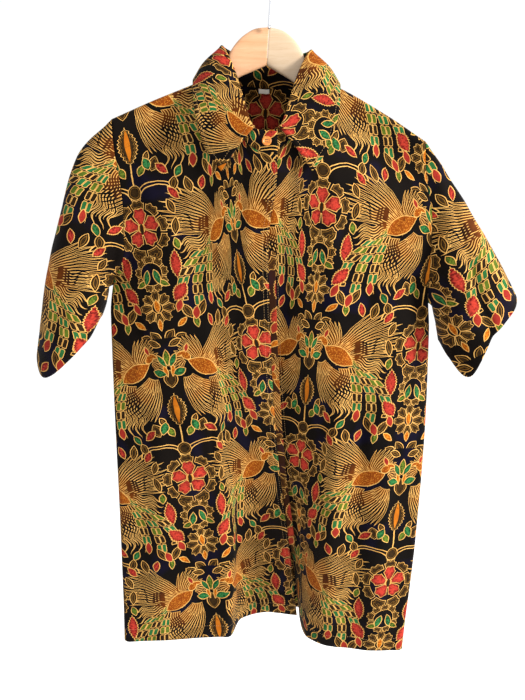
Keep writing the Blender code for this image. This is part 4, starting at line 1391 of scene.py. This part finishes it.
hangerLook = dict(stations=90, around=40, thick=0.012, tilt=math.radians(4.0), mitre=0.0003)


def rolled(around, steps, place):
    form = bmesh.new()
    bmesh.ops.create_grid(form, x_segments=around, y_segments=steps, size=0.5)
    for vert in form.verts:
        vert.co = place(round((vert.co.x + 0.5) * around) % around, round((vert.co.y + 0.5) * steps))
    bmesh.ops.remove_doubles(form, verts=form.verts, dist=0.00001)
    bmesh.ops.holes_fill(form, edges=[edge for edge in form.edges if edge.is_boundary], sides=around)
    return form


def makeBlade(name, hand, look):
    around, stations = hangerLook["around"], hangerLook["stations"]
    reach = hangerArm[-1]["x"]
    xs = [reach * (1.0 - (1.0 - i / stations) ** 1.25) for i in range(stations + 1)]

    def place(c, r):
        x = xs[r]
        angle = math.tau * c / around
        across, upward = math.cos(angle), math.sin(angle)
        top, bottom = column(hangerArm, "x", "top", x), column(hangerArm, "x", "bottom", x)
        thin = mix(1.0, 0.55, ease((x - 0.170) / (reach - 0.170)))
        flat = math.copysign(abs(across) ** 0.55, across) * hangerLook["thick"] / 2 * thin
        tall = math.copysign(abs(upward) ** 0.75, upward) * (top - bottom) / 2
        return Vector((hand * max(x, hangerLook["mitre"] / 2), bow(x) + flat, (top + bottom) / 2 + tall))

    form = rolled(around, stations, place)
    rims = [edge for edge in form.edges if len(edge.link_faces) == 2
            and max(len(one.verts) for one in edge.link_faces) > 6]
    bmesh.ops.bevel(form, geom=rims, offset=0.0004, segments=2, profile=0.5, affect="EDGES", material=-1)
    bmesh.ops.recalc_face_normals(form, faces=form.faces)
    bmesh.ops.transform(form, matrix=Matrix.Rotation(hangerLook["tilt"], 4, "Y"), verts=form.verts)
    soften(form)
    piece = meshPiece(name, form, look, crease=50)
    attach(piece, "root")
    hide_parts("hanger_right" if hand < 0 else "hanger_left")


def makeWoodLook(name, pale, dark):
    look = Look(name)
    spot = look.spot()
    lean = math.radians(-24 if "left" in name else 24)

    def stretched(scale):
        return look.value(look.node("ShaderNodeMapping", dict(vector_type="POINT"),
                                    dict(Vector=spot, Rotation=(0.0, lean, 0.0), Scale=scale)))

    grain = look.noise(stretched((3.0, 40.0, 60.0)), 3.2, 5.0, 0.62)
    pores = look.noise(stretched((14.0, 300.0, 420.0)), 3.0, 3.0, 0.6)
    flecks = ((pores - 0.58) * 6.0).clamped()
    paint = look.mixed(((grain - 0.35) * 2.4).clamped(), pale, dark)
    paint = look.mixed(flecks * 0.35, paint, colour(150, 96, 52))
    normal = look.bump(grain + pores * 0.5, 0.0002, 0.35)
    return look.finish({"Coat Weight": 0.25, "Coat Roughness": 0.28, "Specular IOR Level": 0.4},
                       {"Base Color": paint, "Roughness": 0.36 + 0.16 * pores, "Normal": normal})


hook = dict(wire=0.0036, radius=0.0195, drop=0.0835, bend=-0.054, pullShank=0.020, pullRound=0.018, round=205.0,
            ring=20)


def makeHook(look):
    centre = -(hook["radius"] - hook["wire"] / 2)
    foot = -hook["drop"] - 0.004
    points = [(0.0, mix(foot, hook["bend"], i / 6)) for i in range(7)]
    a, b = (0.0, hook["bend"]), (0.0, hook["bend"] + hook["pullShank"])
    c, d = (hook["radius"], centre - hook["pullRound"]), (hook["radius"], centre)
    for i in range(1, 20):
        t = i / 20
        points.append(tuple(a[k] * (1 - t) ** 3 + 3 * b[k] * t * (1 - t) ** 2
                            + 3 * c[k] * t * t * (1 - t) + d[k] * t ** 3 for k in range(2)))
    for i in range(57):
        angle = math.radians(hook["round"] * i / 56)
        points.append((hook["radius"] * math.cos(angle), centre + hook["radius"] * math.sin(angle)))
    turn = Matrix.Rotation(hangerLook["tilt"], 3, "Y")
    last = len(points) - 1

    def place(c, r):
        here = Vector((points[r][0], 0.0, points[r][1]))
        ahead, behind = points[min(r + 1, last)], points[max(r - 1, 0)]
        along = Vector((ahead[0] - behind[0], 0.0, ahead[1] - behind[1])).normalized()
        side = Vector((0.0, 1.0, 0.0))
        up = along.cross(side)
        thin = hook["wire"] / 2 * (1.0 if r < last - 1 else (0.86 if r < last else 0.45))
        angle = math.tau * c / hook["ring"]
        return turn @ (here + (side * math.cos(angle) + up * math.sin(angle)) * thin)

    form = rolled(hook["ring"], last, place)
    bmesh.ops.recalc_face_normals(form, faces=form.faces)
    soften(form)
    piece = meshPiece("hook", form, look)
    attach(piece, "root")
    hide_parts("hanger_hook")


def makeSteelLook():
    look = Look("bright_wire")
    spot = look.spot()
    stretched = look.node("ShaderNodeMapping", None, dict(Vector=spot, Scale=(900.0, 900.0, 40.0)))
    drawn = look.noise(look.value(stretched), 1.0, 2.0)
    smudge = look.noise(spot, 90.0, 3.0)
    paint = look.mixed(smudge, colour(196, 198, 204), colour(226, 228, 232))
    return look.finish({"Metallic": 1.0}, {"Base Color": paint, "Roughness": 0.16 + 0.16 * drawn * smudge,
                                           "Normal": look.bump(drawn, 0.00004, 0.3)})


def makeThreadLook(name, tint):
    look = Look(name)
    spot = look.spot()
    twist = look.noise(spot, 1400.0, 2.0)
    paint = look.mixed(twist, tint, tuple(part * 0.6 for part in tint[:3]) + (1.0,))
    return look.finish({"Sheen Weight": 0.2}, {"Base Color": paint, "Roughness": 0.6 + 0.2 * twist,
                                              "Normal": look.bump(twist, 0.00005, 0.5)})


def makeTapeLook():
    look = Look("white_tape")
    flat = look.grain()
    u, w = look.parts(flat)
    rib = (u * (math.tau / 0.0006)).maths("SINE") * (w * (math.tau / 0.0005)).maths("SINE") * 0.5 + 0.5
    soil = look.noise(flat, 200.0, 2.0)
    paint = look.mixed(soil * 0.4 + rib * 0.1, colour(236, 232, 222), colour(206, 200, 186))
    return look.finish({"Sheen Weight": 0.1}, {"Base Color": paint, "Roughness": 0.75 + 0.1 * rib,
                                              "Normal": look.bump(rib, 0.0001, 0.4)})


def makeButtonLook():
    look = Look("amber_button")
    spot = look.spot()
    stretched = look.node("ShaderNodeMapping", None, dict(Vector=spot, Scale=(1.0, 1.0, 3.0)))
    swirl = look.noise(look.value(stretched), 260.0, 3.0)
    paint = look.mixed(((swirl - 0.35) * 2.2).clamped(), colour(214, 128, 44), colour(120, 58, 18))
    rough = 0.24 + 0.14 * swirl
    return look.finish({"Coat Weight": 0.4, "Coat Roughness": 0.12},
                       {"Base Color": paint, "Roughness": rough, "Normal": look.bump(swirl, 0.00003, 0.3)})


studio = dict(at=(-0.014, -0.95, -0.25), pitch=76.0, lens=50.1, floor=-1.45)


def makeCamera():
    data = bpy.data.cameras.new("camera")
    data.lens = studio["lens"]
    data.sensor_width = 36.0
    data.sensor_fit = "HORIZONTAL"
    data.clip_start = 0.01
    seen = bpy.data.objects.new("camera", data)
    seen.location = studio["at"]
    seen.rotation_euler = (math.radians(studio["pitch"]), 0.0, 0.0)
    bpy.context.collection.objects.link(seen)
    bpy.context.scene.camera = seen


def makeLamp(name, at, aim, size, power, tint=(1.0, 1.0, 1.0)):
    data = bpy.data.lights.new(name, "AREA")
    data.shape = "RECTANGLE"
    data.size, data.size_y = size
    data.energy = power
    data.color = tint
    lamp = bpy.data.objects.new(name, data)
    lamp.location = at
    lamp.rotation_euler = (Vector(aim) - Vector(at)).to_track_quat("-Z", "Y").to_euler()
    bpy.context.collection.objects.link(lamp)


def makeStudio():
    world = bpy.data.worlds.new("studio")
    bpy.context.scene.world = world
    world.use_nodes = True
    sky = world.node_tree.nodes["Background"]
    sky.inputs["Color"].default_value = (1.0, 1.0, 1.0, 1.0)
    sky.inputs["Strength"].default_value = 1.03
    form = bmesh.new()
    bmesh.ops.create_grid(form, x_segments=1, y_segments=1, size=30.0)
    look = Look("pale_floor")
    look.finish({"Base Color": (0.99, 0.99, 0.99, 1.0), "Roughness": 0.9, "Specular IOR Level": 0.1}, {})
    floor = meshPiece("floor", form, look.material)
    floor.location = (0.0, 0.0, studio["floor"])
    makeLamp("key", (1.9, -1.0, 0.4), (0.0, 0.0, -0.45), (0.5, 0.5), 106.0, (1.0, 0.985, 0.96))
    makeLamp("fill", (-1.3, -1.5, 0.6), (0.0, 0.0, -0.4), (1.2, 1.2), 3.0)
    bpy.context.scene.view_settings.view_transform = "Standard"


makeCamera()
makeStudio()
print("studio")
cottonLook = batikLook("batik_cotton")
insideLook = insideCopy("batik_cotton_inside", cottonLook)
print("materials")
makeBody(cottonLook)
print("body")
makeSleeves(cottonLook)
makeCollar(cottonLook)
makeFly(insideLook)
print("sleeves, collar and fly")
makeStitches(makeThreadLook("tan_thread", colour(176, 138, 84)))
makeButton(makeButtonLook(), makeThreadLook("dark_thread", colour(60, 34, 20)))
makeTab(makeTapeLook())
print("stitches, button and tab")
# both arms are the same beech: the wearer's right arm gets a darker, oranger tint as painted shade and the left
# arm a paler tint as painted light, for the way each arm faces the lamps
makeBlade("hanger_wood_right", -1.0, makeWoodLook("beech_right_painted_shade", colour(199, 154, 118), colour(183, 133, 93)))
makeBlade("hanger_wood_left", 1.0, makeWoodLook("beech_left_painted_light", colour(188, 165, 138), colour(177, 150, 118)))
makeHook(makeSteelLook())
print("hanger")
print("flat sizes", flatSizes)
